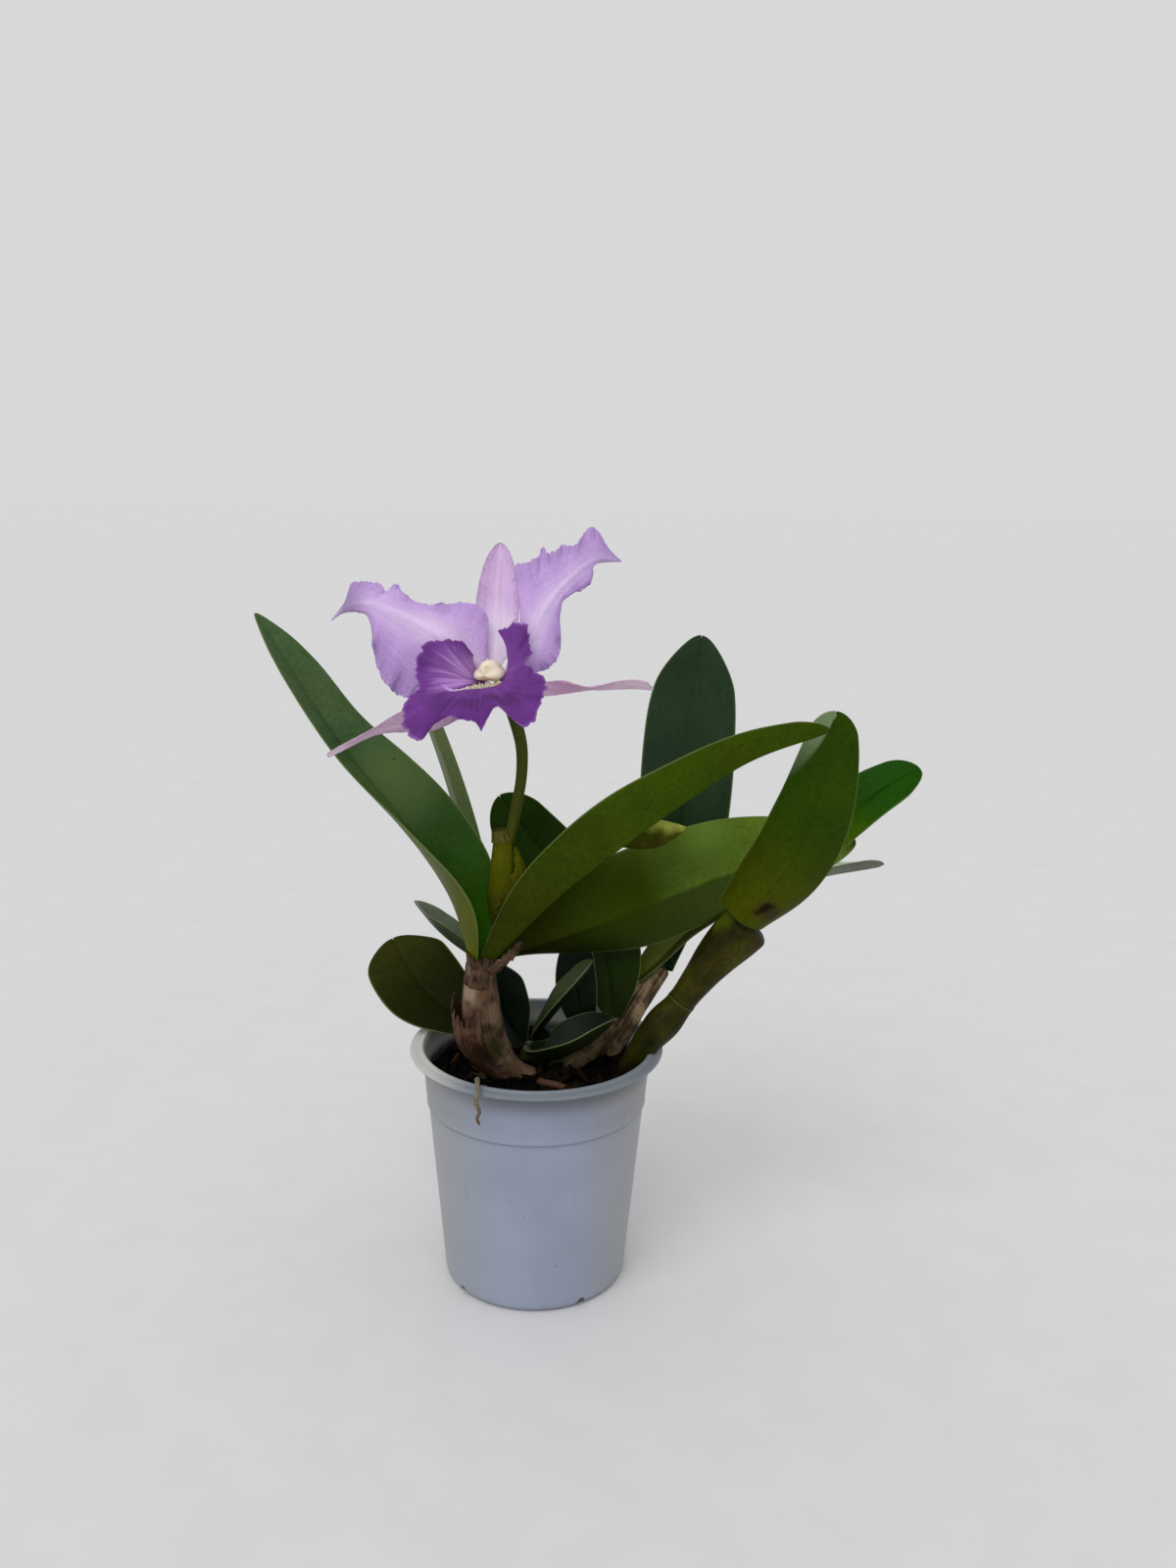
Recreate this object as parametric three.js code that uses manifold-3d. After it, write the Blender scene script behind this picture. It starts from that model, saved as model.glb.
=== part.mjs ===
// A cattleya orchid in flower in a plastic nursery pot.
// Millimetres, +Z up. The origin is the middle of the pot's underside.
// The flower opens towards -Y, and the tall leaves lean to -X and +X.

import * as THREE from 'three';
import { mergeVertices } from 'three/addons/utils/BufferGeometryUtils.js';
import Module from 'manifold-3d';

const wasm = await Module();
wasm.setup();

// ---------------------------------------------------------------- driving dimensions

const GAP = 0.3;                  // between pieces that touch on the plant

const POT_HEIGHT = 116;
const POT_RIM_RADIUS = 60;
const POT_FOOT_RADIUS = 41.5;
const POT_WALL = 1.4;
const POT_WALL_BOTTOM = 43.4;     // outer radius just above the rounded foot
const POT_WALL_TOP = 53.9;        // outer radius just under the rim
const POT_STEP_HEIGHT = 88;       // the stacking step round the wall
const POT_STEP = 0.6;
const POT_RIM_DEPTH = 5;
const POT_FLOOR = 2;
const POT_SIDES = 48;
const DRAIN_COUNT = 8;
const DRAIN_WIDTH = 7;
const DRAIN_HEIGHT = 2.5;

const MEDIUM_LEVEL = 103;         // mean height of its surface
const MEDIUM_SIDES = 30;
const MEDIUM_RINGS = [44, 36, 27, 18, 9, 0];
const CHIP_COUNT = 28;
const CHIP_LENGTH = [5, 11];      // shortest and longest
const CHIP_WIDTH = [3, 8];
const CHIP_DEPTH = 4;
const CHIP_TILT = 20;             // degrees either way
const CHIP_REACH = 43;            // from the pot's axis

const LEAF_THICKNESS = 1.7;
const LEAF_ROWS = 14;
const LEAF_COLUMNS = 4;
const LEAF_NOTCH = 1.4;           // depth of the nick at a leaf's tip

const FLOWER_PLACE = [-17, -40, 297];
const FLOWER_TILT = 10;           // degrees that the flower looks up
const TEPAL_THICKNESS = 0.8;      // petals and sepals, and the lip
const TEPAL_ROWS = 14;
const TEPAL_COLUMNS = 6;
const LIP_ROWS = 36;              // round the lip
const LIP_COLUMNS = 6;            // from its claw to its margin
const LIP_WAVES = 9;
const LIP_FRILL = 1.3;

// ---------------------------------------------------------------- numbers and curves

const radians = THREE.MathUtils.degToRad;
const vector = (values) => new THREE.Vector3(...values);

// Repeatable draws between 0 and 1.
function makeDraw(seed) {
  let state = seed;
  return () => {
    state = (state * 16807) % 2147483647;
    return state / 2147483647;
  };
}

// The value at t (0 to 1) of a smooth run through evenly spaced values.
function along(values, t) {
  const last = values.length - 1;
  const place = Math.min(Math.max(t, 0), 1) * last;
  const i = Math.min(Math.floor(place), last - 1);
  const f = place - i;
  const b = values[i];
  const c = values[i + 1];
  const a = i > 0 ? values[i - 1] : 2 * b - c;
  const d = i + 2 <= last ? values[i + 2] : 2 * c - b;
  const slope = (c - a) / 2;
  const nextSlope = (d - b) / 2;
  const f2 = f * f;
  const f3 = f2 * f;
  return (2 * f3 - 3 * f2 + 1) * b + (f3 - 2 * f2 + f) * slope
    + (3 * f2 - 2 * f3) * c + (f3 - f2) * nextSlope;
}

// The same for points, each an array of three numbers.
function pointAlong(points, t) {
  const axis = (k) => along(points.map((point) => point[k]), t);
  return new THREE.Vector3(axis(0), axis(1), axis(2));
}

function spline(points) {
  return new THREE.CatmullRomCurve3(points.map(vector), false, 'catmullrom', 0.5);
}

// ---------------------------------------------------------------- solids

function closedGeometry(positions, index) {
  const geometry = new THREE.BufferGeometry();
  geometry.setAttribute('position', new THREE.Float32BufferAttribute(positions, 3));
  geometry.setIndex(index);
  if (signedVolume(geometry) < 0) {
    index.reverse();
    geometry.setIndex(index);
  }
  return geometry;
}

function signedVolume(geometry) {
  const places = geometry.attributes.position;
  const index = geometry.index;
  const a = new THREE.Vector3();
  const b = new THREE.Vector3();
  const c = new THREE.Vector3();
  let sum = 0;
  for (let i = 0; i < index.count; i += 3) {
    a.fromBufferAttribute(places, index.getX(i));
    b.fromBufferAttribute(places, index.getX(i + 1));
    c.fromBufferAttribute(places, index.getX(i + 2));
    sum += a.dot(b.cross(c)) / 6;
  }
  return sum;
}

// A thin solid on both sides of surface(u, v), with u from 0 to 1 and v from -1 to 1.
// Both faces are split into triangles alike.
function blade(surface, { rows, columns, thickness, place = (t) => t }) {
  const positions = [];
  const stride = columns + 1;
  const count = (rows + 1) * stride;
  for (const side of [1, -1]) {
    for (let k = 0; k < count; k += 1) {
      const u = place(Math.floor(k / stride) / rows);
      const v = 2 * (k % stride) / columns - 1;
      const point = surface(u, v);
      point.addScaledVector(surfaceNormal(surface, u, v), side * thickness / 2);
      positions.push(point.x, point.y, point.z);
    }
  }
  const index = [];
  const wall = (a, b) => index.push(a, a + count, b, b, a + count, b + count);
  for (let i = 0; i < rows; i += 1) {
    for (let j = 0; j < columns; j += 1) {
      const a = i * stride + j;
      const b = a + stride;
      index.push(a, b, b + 1, a, b + 1, a + 1);
      index.push(a + count, b + 1 + count, b + count);
      index.push(a + count, a + 1 + count, b + 1 + count);
    }
    wall(i * stride, (i + 1) * stride);
    wall((i + 1) * stride + columns, i * stride + columns);
  }
  for (let j = 0; j < columns; j += 1) {
    wall(j + 1, j);
    wall(rows * stride + j, rows * stride + j + 1);
  }
  return closedGeometry(positions, index);
}

function surfaceNormal(surface, u, v) {
  const step = 0.01;
  const across = surface(u, Math.min(v + step, 1)).sub(surface(u, Math.max(v - step, -1)));
  const down = surface(Math.min(u + step, 1), v).sub(surface(Math.max(u - step, 0), v));
  return down.cross(across).normalize();
}

// A round solid along a path of points. The radii are spread evenly along it.
// grow makes it larger all over, for cutting room into a neighbour.
function stalk({ path, radii, sides = 12, rings = 12, flat = 1, turn = 0, grow = 0 }) {
  const curve = spline(path);
  const frames = curve.computeFrenetFrames(rings, false);
  const positions = [];
  for (let i = 0; i <= rings; i += 1) {
    const t = i / rings;
    const centre = curve.getPointAt(t);
    if (i === 0) centre.addScaledVector(frames.tangents[0], -grow);
    if (i === rings) centre.addScaledVector(frames.tangents[rings], grow);
    const radius = along(radii, t) + grow;
    for (let j = 0; j < sides; j += 1) {
      const angle = 2 * Math.PI * j / sides;
      const offset = frames.normals[i].clone().multiplyScalar(radius * Math.cos(angle));
      offset.addScaledVector(frames.binormals[i], radius * flat * Math.sin(angle));
      const point = centre.clone().add(offset.applyAxisAngle(frames.tangents[i], radians(turn)));
      positions.push(point.x, point.y, point.z);
    }
  }
  const index = [];
  for (let i = 0; i < rings; i += 1) {
    for (let j = 0; j < sides; j += 1) {
      const a = i * sides + j;
      const b = i * sides + (j + 1) % sides;
      index.push(a, b, b + sides, a, b + sides, a + sides);
    }
  }
  const top = rings * sides;
  for (let j = 1; j < sides - 1; j += 1) {
    index.push(0, j + 1, j);
    index.push(top, top + j, top + j + 1);
  }
  return closedGeometry(positions, index);
}

function toSolid(geometry) {
  const bare = geometry.clone();
  bare.deleteAttribute('normal');
  bare.deleteAttribute('uv');
  const merged = mergeVertices(bare, 1e-3);
  const corners = Array.from(merged.index.array);
  const kept = [];
  for (let i = 0; i < corners.length; i += 3) {
    const [a, b, c] = corners.slice(i, i + 3);
    if (a !== b && b !== c && c !== a) kept.push(a, b, c);
  }
  const vertProperties = new Float32Array(merged.attributes.position.array);
  const triVerts = new Uint32Array(kept);
  return new wasm.Manifold(new wasm.Mesh({ numProp: 3, vertProperties, triVerts }));
}

function toGeometry(solid) {
  const mesh = solid.getMesh();
  const geometry = new THREE.BufferGeometry();
  geometry.setAttribute('position', new THREE.Float32BufferAttribute(mesh.vertProperties, 3));
  geometry.setIndex(Array.from(mesh.triVerts));
  return geometry;
}

// The largest body of a solid, without the scraps that a cut can leave.
function mainBody(solid) {
  const bodies = solid.decompose();
  return bodies.reduce((best, body) => (body.volume() > best.volume() ? body : best));
}

// A geometry with room cut into it for its neighbours.
function cutBy(geometry, ...neighbours) {
  let solid = toSolid(geometry);
  for (const neighbour of neighbours) solid = solid.subtract(toSolid(neighbour));
  return toGeometry(mainBody(solid));
}

// ---------------------------------------------------------------- finishes

function finish(color, roughness) {
  return new THREE.MeshStandardMaterial({ color, roughness, metalness: 0 });
}

const finishes = {
  plastic: finish('#c9d4de', 0.4),
  bark: finish('#2a1d14', 0.95),
  stem: finish('#8d6a45', 0.8),
  husk: finish('#a08a72', 0.85),
  greenBulb: finish('#5d6b2c', 0.5),
  darkLeaf: finish('#24402b', 0.35),
  leaf: finish('#35602a', 0.35),
  brightLeaf: finish('#3f7f22', 0.35),
  sheath: finish('#7c8a35', 0.5),
  flowerStem: finish('#5b7a3a', 0.5),
  sepal: finish('#d2b3df', 0.55),
  petal: finish('#b9a2e0', 0.55),
  lip: finish('#5d2a94', 0.55),
  column: finish('#f1ead8', 0.5),
  root: finish('#b6a58a', 0.8),
};

const plant = new THREE.Group();

function add(name, geometry, material, group = plant) {
  const mesh = new THREE.Mesh(geometry, material);
  mesh.name = name;
  group.add(mesh);
  return mesh;
}

// ---------------------------------------------------------------- pot

function wallRadius(z) {
  const share = z / (POT_HEIGHT - POT_RIM_DEPTH);
  return THREE.MathUtils.lerp(POT_WALL_BOTTOM, POT_WALL_TOP, share);
}

function makePot() {
  const rimBottom = POT_HEIGHT - POT_RIM_DEPTH;
  const inner = (z) => wallRadius(z) - POT_WALL;
  const outline = [
    [0, 0],
    [POT_FOOT_RADIUS - 1.5, 0],
    [POT_FOOT_RADIUS + 0.8, 0.8],
    [wallRadius(3.5), 3.5],
    [wallRadius(POT_STEP_HEIGHT) - POT_STEP / 2, POT_STEP_HEIGHT],
    [wallRadius(POT_STEP_HEIGHT) + POT_STEP / 2, POT_STEP_HEIGHT + 0.8],
    [wallRadius(rimBottom), rimBottom - 0.5],
    [POT_RIM_RADIUS - 1.4, rimBottom],
    [POT_RIM_RADIUS, rimBottom + 1.4],
    [POT_RIM_RADIUS - 0.4, POT_HEIGHT - 1],
    [POT_RIM_RADIUS - 2, POT_HEIGHT],
    [inner(POT_HEIGHT) + 1, POT_HEIGHT],
    [inner(rimBottom), rimBottom],
    [inner(POT_FLOOR + 2), POT_FLOOR + 2],
    [inner(POT_FLOOR) - 2, POT_FLOOR],
    [0, POT_FLOOR],
  ].map(([radius, z]) => new THREE.Vector2(radius, z));
  const body = new THREE.LatheGeometry(outline, POT_SIDES);
  body.rotateX(Math.PI / 2);
  const notch = new THREE.BoxGeometry(DRAIN_WIDTH, 12, 2 * DRAIN_HEIGHT);
  notch.translate(0, POT_FOOT_RADIUS + 2, 0);
  const notches = [];
  for (let k = 0; k < DRAIN_COUNT; k += 1) {
    notches.push(notch.clone().rotateZ(2 * Math.PI * (k + 0.5) / DRAIN_COUNT));
  }
  return cutBy(body, ...notches);
}

// The rim with a little room round it, to press a shallow flat into what leans on it.
function rimRoom() {
  const inside = wallRadius(POT_HEIGHT - POT_RIM_DEPTH) - POT_WALL - GAP;
  const below = POT_HEIGHT - 4 * POT_RIM_DEPTH;
  const outline = [
    [wallRadius(below) - POT_WALL - GAP, below],
    [POT_RIM_RADIUS + 2, below],
    [POT_RIM_RADIUS + 2, POT_HEIGHT + GAP],
    [inside, POT_HEIGHT + GAP],
    [inside, POT_HEIGHT - POT_RIM_DEPTH],
    [wallRadius(below) - POT_WALL - GAP, below],
  ].map(([radius, z]) => new THREE.Vector2(radius, z));
  return new THREE.LatheGeometry(outline, POT_SIDES).rotateX(Math.PI / 2);
}

// ---------------------------------------------------------------- pseudobulbs and rhizome

// Each stands on the rhizome. Its path starts at the foot and ends under the leaves.
const bulbs = {
  front_pseudobulb: {
    path: [[0, -9, 102], [-8, -11, 105], [-18, -12, 112], [-25, -13, 123], [-28, -15, 136],
      [-27, -18, 152], [-25, -20, 166]],
    radii: [4.3, 6, 9.5, 12, 11.5, 9, 6.5],
    rings: 14,
  },
  back_left_pseudobulb: {
    path: [[-4, 16, 99], [-13, 20, 104], [-21, 23, 118], [-24, 23, 134], [-25, 21, 148]],
    radii: [4, 6, 8, 7, 5],
  },
  middle_pseudobulb: {
    path: [[8, -3, 102], [17, 1, 107], [27, 6, 113], [37, 11, 123]],
    radii: [4, 6, 6, 4],
  },
  back_right_pseudobulb: {
    path: [[33, 18, 99], [40, 18, 113], [50, 23, 130], [61, 28, 145]],
    radii: [4.5, 5.5, 5.5, 4.5],
  },
  right_pseudobulb: {
    path: [[41, 0, 99], [46, -7, 111], [54, -8, 123], [65, -6, 136], [74, -6, 149], [86, -6, 163],
      [100, -8, 179]],
    radii: [5.5, 6.5, 7.5, 8.2, 6.8, 7.4, 9.5, 12, 13.5],
    rings: 16,
    flat: 0.8,
  },
  small_growth: {
    path: [[-5, 5, 98], [-4, 6, 105], [-4, 7, 113]],
    radii: [4, 4.5, 3],
    rings: 5,
    sides: 10,
  },
};

const rhizomeSpec = {
  path: [[5, -9, 97], [16, -2, 95], [30, 8, 95], [42, 8, 95], [46, 3, 96]],
  radii: [4.5, 5, 5, 5, 4],
  sides: 10,
};

function bulbRoom(name) {
  return stalk({ ...bulbs[name], grow: GAP });
}

// ---------------------------------------------------------------- growing medium

function mediumHeight(x, y) {
  const swell = 1.3 * Math.sin(x / 9 + 1) * Math.cos(y / 11) + 0.9 * Math.sin((x + y) / 4.5);
  return MEDIUM_LEVEL + swell;
}

function makeMedium() {
  const room = POT_WALL + GAP;
  const outline = [
    [0, POT_FLOOR + GAP],
    [wallRadius(POT_FLOOR) - room - 2, POT_FLOOR + GAP],
    [wallRadius(POT_FLOOR + 2) - room, POT_FLOOR + 2 + GAP],
    [wallRadius(MEDIUM_LEVEL - 3) - room, MEDIUM_LEVEL - 3],
    ...MEDIUM_RINGS.map((radius) => [radius, MEDIUM_LEVEL]),
  ].map(([radius, z]) => new THREE.Vector2(radius, z));
  const body = new THREE.LatheGeometry(outline, MEDIUM_SIDES);
  body.rotateX(Math.PI / 2);
  const places = body.attributes.position;
  for (let i = 0; i < places.count; i += 1) {
    if (Math.abs(places.getZ(i) - MEDIUM_LEVEL) < 0.01) {
      places.setZ(i, mediumHeight(places.getX(i), places.getY(i)));
    }
  }
  let solid = toSolid(body);
  const draw = makeDraw(41);
  const between = ([low, high]) => THREE.MathUtils.lerp(low, high, draw());
  const tilt = () => radians(CHIP_TILT) * (2 * draw() - 1);
  for (let k = 0; k < CHIP_COUNT; k += 1) {
    const chip = new THREE.BoxGeometry(between(CHIP_LENGTH), between(CHIP_WIDTH), CHIP_DEPTH);
    chip.rotateX(tilt());
    chip.rotateY(tilt());
    chip.rotateZ(Math.PI * draw());
    const radius = CHIP_REACH * Math.sqrt(draw());
    const angle = 2 * Math.PI * draw();
    const x = radius * Math.cos(angle);
    const y = radius * Math.sin(angle);
    chip.translate(x, y, mediumHeight(x, y));
    solid = solid.add(toSolid(chip));
  }
  for (const name of Object.keys(bulbs)) solid = solid.subtract(toSolid(bulbRoom(name)));
  for (const spec of [rhizomeSpec, ...Object.values(roots)]) {
    solid = solid.subtract(toSolid(stalk({ ...spec, grow: GAP })));
  }
  return toGeometry(mainBody(solid));
}

// ---------------------------------------------------------------- leaves

// A leaf follows its path. face is the way its upper side looks at the base, middle and tip,
// width its half width, fold the angle each half rises from the midrib, and cup how much
// further each half has turned at its margin, all spread evenly from base to tip.
// Its foot leaves room for the leaves that it stands beside.
const leaves = {
  left_leaf: {
    path: [[-29, -21, 164], [-43, -20, 195], [-63, -19, 227], [-87, -17, 261],
      [-107, -15, 292], [-124, -13, 319]],
    face: [[0.75, -0.5, 0.35], [0.7, -0.6, 0.4], [0.6, -0.7, 0.4]],
    width: [5, 17, 22, 22, 19, 14, 8], fold: [58, 46, 38, 30], cup: [30, 15, 10, 8],
    tip: 14, material: 'leaf',
  },
  right_leaf: {
    path: [[-21, -24, 164], [6, -31, 195], [28, -36, 214], [60, -44, 243], [90, -50, 265],
      [122, -57, 279]],
    face: [[-0.43, 0.3, 0.8], [-0.43, 0.35, 0.8], [-0.3, 0.5, 0.8]],
    width: [5, 16, 22, 22, 18, 13, 7], fold: [62, 56, 46, 36], cup: [12, 10, 8, 8],
    tip: 14, material: 'leaf',
  },
  broad_leaf: {
    path: [[-22, -17, 163], [15, -11, 174], [48, -5, 185], [84, 9, 196], [120, 23, 203],
      [153, 32, 208]],
    face: [[-0.15, 0.8, 0.3], [-0.15, 0.95, 0.15], [-0.15, 0.95, 0.15]],
    width: [5, 19, 27, 28, 26, 19, 9], fold: [30, 18, 14, 12], cup: [30, 10, 8, 8],
    tip: 16, material: 'leaf',
  },
  wide_leaf: {
    path: [[97, -19, 183], [106, -25, 211], [115, -31, 236], [122, -36, 262], [126, -39, 284]],
    face: [[0, 0.95, -0.05], [0.1, 0.95, -0.1], [0.1, 0.95, -0.1]],
    width: [15, 19, 20, 20, 19, 16, 10], fold: [15, 16, 14, 12], cup: [50, 22, 12, 10],
    tip: 15, material: 'leaf',
  },
  bright_leaf: {
    path: [[102, -4, 177], [129, 4, 208], [149, 8, 231], [165, 10, 243], [177, 11, 249]],
    face: [[-0.6, -0.3, 0.7], [-0.55, -0.5, 0.65], [-0.45, -0.55, 0.7]],
    width: [6, 12, 15, 16, 15, 12, 8], fold: [35, 25, 20, 15], cup: [30, 15, 10, 10],
    tip: 13, material: 'brightLeaf',
  },
  tall_leaf: {
    path: [[62, 30, 142], [68, 42, 184], [70, 46, 224], [72, 48, 266], [76, 47, 306]],
    face: [[-0.2, -0.9, 0.1], [0, -1, 0.1], [0, -1, 0.1]],
    width: [5, 14, 21, 23, 23, 20, 15], fold: [25, 14, 10, 8], cup: [20, 10, 8, 5],
    tip: 22, material: 'darkLeaf',
  },
  narrow_leaf: {
    path: [[65, 25, 143], [76, 26, 155], [92, 33, 166], [118, 38, 177], [145, 42, 187],
      [170, 44, 194]],
    face: [[-0.4, 0.6, 0.6], [-0.2, 0.7, 0.6], [-0.1, 0.6, 0.7]],
    width: [4, 8, 10, 10, 9, 6], fold: [35, 28, 22, 18], cup: [20, 10, 10, 10],
    tip: 12, material: 'darkLeaf', beside: ['tall_leaf'],
  },
  middle_leaf: {
    path: [[37, 14, 123], [35, 17, 139], [30, 20, 157], [19, 21, 179], [5, 20, 199],
      [-8, 17, 217], [-19, 14, 233]],
    face: [[0, -1, 0.1], [0.1, -1, 0.1], [0, -1, 0.2]],
    width: [4, 16, 20, 20, 18, 15, 11], fold: [14, 8, 8, 8], cup: [14, 6, 6, 6],
    tip: 14, material: 'darkLeaf',
  },
  shade_leaf: {
    path: [[24, 6, 117], [20, 7, 132], [18, 8, 149], [19, 9, 167]],
    face: [[0, -1, 0.2], [0, -1, 0.2], [0, -1, 0.2]],
    width: [3, 8, 10, 9, 6], fold: [12, 8, 8, 8], cup: [10, 8, 8, 8],
    tip: 11, material: 'darkLeaf',
  },
  round_leaf: {
    path: [[-27, 18, 114], [-42, 21, 121], [-56, 29, 129], [-67, 41, 139], [-76, 54, 148]],
    face: [[0.6, -0.5, 0.6], [0.5, -0.7, 0.6], [0.4, -0.7, 0.7]],
    width: [4, 13, 17, 19, 18, 13], fold: [20, 12, 8, 8], cup: [20, 12, 8, 8],
    tip: 18, material: 'darkLeaf',
  },
  pointed_leaf: {
    path: [[-29, 22, 149], [-43, 32, 155], [-54, 42, 161], [-64, 54, 168]],
    face: [[0.5, 0.2, 0.8], [0.4, 0.1, 0.9], [0.4, 0, 0.9]],
    width: [4, 9, 11, 9, 6], fold: [35, 30, 25, 20], cup: [15, 10, 10, 10],
    tip: 12, material: 'darkLeaf',
  },
  edge_leaf: {
    path: [[-26, 19, 145], [-28, 10, 180], [-34, 6, 211], [-42, 4, 242], [-50, 3, 267],
      [-60, 4, 294]],
    face: [[0.9, -0.2, 0.2], [0.9, -0.1, 0.3], [0.8, -0.1, 0.5]],
    width: [4, 9, 11, 11, 10, 8], fold: [30, 22, 18, 15], cup: [15, 10, 8, 8],
    tip: 12, material: 'leaf',
  },
  inner_leaf: {
    path: [[-7, 5, 113], [-15, 6, 125], [-21, 6, 139], [-25, 5, 154]],
    face: [[0.2, -0.9, 0.1], [0.1, -1, 0.2], [0.1, -0.9, 0.4]],
    width: [3, 12, 15, 15, 11], fold: [20, 12, 10, 8], cup: [15, 10, 8, 8],
    tip: 14, material: 'darkLeaf',
  },
  boat_leaf: {
    path: [[-4, 5, 111], [3, -6, 110], [12, -9, 113], [24, -10, 120], [37, -10, 132]],
    face: [[-0.3, 0.1, 0.9], [-0.3, -0.1, 0.9], [-0.4, -0.1, 0.9]],
    width: [3, 11, 15, 14, 9], fold: [35, 40, 38, 30], cup: [20, 15, 10, 10],
    tip: 12, material: 'darkLeaf',
  },
  slant_leaf: {
    path: [[-2, 7, 116], [2, 1, 130], [10, -3, 142], [20, -5, 153], [29, -6, 160]],
    face: [[-0.6, -0.2, 0.8], [-0.6, -0.2, 0.7], [-0.5, -0.2, 0.8]],
    width: [2, 5, 7, 7, 5], fold: [35, 30, 25, 20], cup: [15, 10, 10, 10],
    tip: 9, material: 'darkLeaf',
  },
};

function leafSurface({ path, face, width, fold, cup, tip }) {
  const curve = spline(path);
  const roundFrom = 1 - tip / curve.getLength();
  return (u, v) => {
    const point = curve.getPointAt(u);
    const tangent = curve.getTangentAt(u);
    const up = pointAlong(face, u);
    up.addScaledVector(tangent, -up.dot(tangent)).normalize();
    const side = new THREE.Vector3().crossVectors(tangent, up);
    const past = Math.max(0, (u - roundFrom) / (1 - roundFrom));
    const half = along(width, u) * Math.sqrt(Math.max(0.02, 1 - past * past));
    const rise = radians(along(fold, u));
    const turn = radians(along(cup, u));
    const reach = Math.abs(v);
    const angle = rise + turn * reach;
    const out = half / turn * (Math.sin(angle) - Math.sin(rise));
    const lift = half / turn * (Math.cos(rise) - Math.cos(angle));
    point.addScaledVector(side, Math.sign(v) * out);
    point.addScaledVector(up, lift);
    const nick = LEAF_NOTCH * Math.max(0, 1 - reach / 0.5) * past ** 4;
    return point.addScaledVector(tangent, -nick);
  };
}

// Rows stand closer together towards the tip, where the outline turns.
function leafRow(t) {
  return 1 - (1 - t) ** 1.5;
}

// grow makes it larger all over, for cutting room into a neighbour.
function makeLeaf(spec, grow = 0) {
  const size = { rows: LEAF_ROWS, columns: LEAF_COLUMNS, thickness: LEAF_THICKNESS + 2 * grow };
  const width = spec.width.map((half) => half + grow);
  return blade(leafSurface({ ...spec, width }), { ...size, place: leafRow });
}

// ---------------------------------------------------------------- flower

// The flower has its own frame: x to the right, y up and z out towards the one who looks at it.
const flower = new THREE.Group();
flower.position.set(...FLOWER_PLACE);
flower.rotation.x = radians(90 - FLOWER_TILT);
plant.add(flower);

// low, mid and high run from the base of a sepal or petal to its tip.
const tepals = {
  dorsal_sepal: {
    low: [[-2, 4, -1.5], [-7, 14, -3], [-9, 27, -4], [-8, 38, -5], [-3, 50, -7], [1, 57, -9]],
    mid: [[0, 4, -1.5], [0, 14, -4], [0.5, 27, -6], [1, 38, -7], [2, 50, -8], [2, 57.5, -9]],
    high: [[2, 4, -1.5], [8, 14, -3], [10, 27, -4], [10, 38, -5], [7, 50, -7], [3, 57, -9]],
    ruffle: 0.3, waves: 2, material: 'sepal',
  },
  left_petal: {
    low: [[-4, -1, 0.5], [-18, -6, 1], [-35, -9, 2], [-45, -3, 1], [-51, 9, 0], [-52, 23, -2],
      [-59, 26, -6], [-69, 23, -11]],
    mid: [[-4, 1, 0.5], [-12, 9, 2], [-25, 18, 4], [-38, 25, 5], [-48, 30, 4], [-55, 33, 1],
      [-62, 31, -4], [-69, 24, -11]],
    high: [[-4, 3, 0.5], [-7, 24, 1], [-18, 30, 2], [-30, 30, 3], [-39, 36, 2], [-48, 38, -1],
      [-58, 40, -6], [-69, 25, -11]],
    ruffle: 1.6, waves: 5, material: 'petal',
  },
  right_petal: {
    low: [[4, -1, 0.5], [23, 2, 1], [28, 15, 2], [29, 28, 2], [36, 36, 1], [41, 41, -2],
      [43, 48, -6], [53, 48, -11]],
    mid: [[4, 1, 0.5], [12, 14, 3], [18, 26, 4], [24, 36, 4], [30, 43, 3], [37, 49, 0],
      [43, 53, -4], [53, 49, -11]],
    high: [[4, 3, 0.5], [7, 30, 1], [9, 46, 2], [17, 50, 3], [26, 52, 2], [34, 55, -1],
      [42, 64, -6], [53, 50, -11]],
    ruffle: 1.6, waves: 5, material: 'petal',
  },
  left_lateral_sepal: {
    low: [[-1.6, -3.8, -1.5], [-16, -12, -3], [-34, -20, -2], [-49, -27, 2], [-60, -32, 7],
      [-68, -35, 11]],
    mid: [[-2.6, -2.6, -1.5], [-17, -10, 0], [-35, -18, 4], [-49, -25, 8], [-60, -30, 11],
      [-68, -34.5, 12]],
    high: [[-3.6, -1.6, -1.5], [-18, -8, 4], [-36, -16, 9], [-50, -23.5, 13], [-60, -29, 14],
      [-68, -34, 12.5]],
    ruffle: 0.2, waves: 1, material: 'sepal',
  },
  right_lateral_sepal: {
    low: [[1.6, -3.8, -1.5], [14, -7, -8], [30, -7, -10], [45, -6, -10], [58, -5, -9],
      [67, -4.4, -8]],
    mid: [[2.6, -2.6, -1.5], [15, -5, -4], [30, -3.5, -3], [45, -4.5, -3], [58, -2.6, -4],
      [67, -4, -7]],
    high: [[3.6, -1.6, -1.5], [16, -3, 0], [30, -1.5, 4], [45, -3.5, 3], [58, -1, 0],
      [67, -3.4, -6]],
    ruffle: 0.2, waves: 1, material: 'sepal',
  },
};

function tepalSurface({ low, mid, high, ruffle, waves }) {
  return (u, v) => {
    const point = pointAlong(mid, u).multiplyScalar(1 - v * v);
    point.addScaledVector(pointAlong(low, u), v * (v - 1) / 2);
    point.addScaledVector(pointAlong(high, u), v * (v + 1) / 2);
    const open = Math.sin(Math.PI * u);
    point.z += ruffle * open * Math.abs(v) ** 3 * Math.sin(2 * Math.PI * waves * u + v);
    return point;
  };
}

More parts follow.
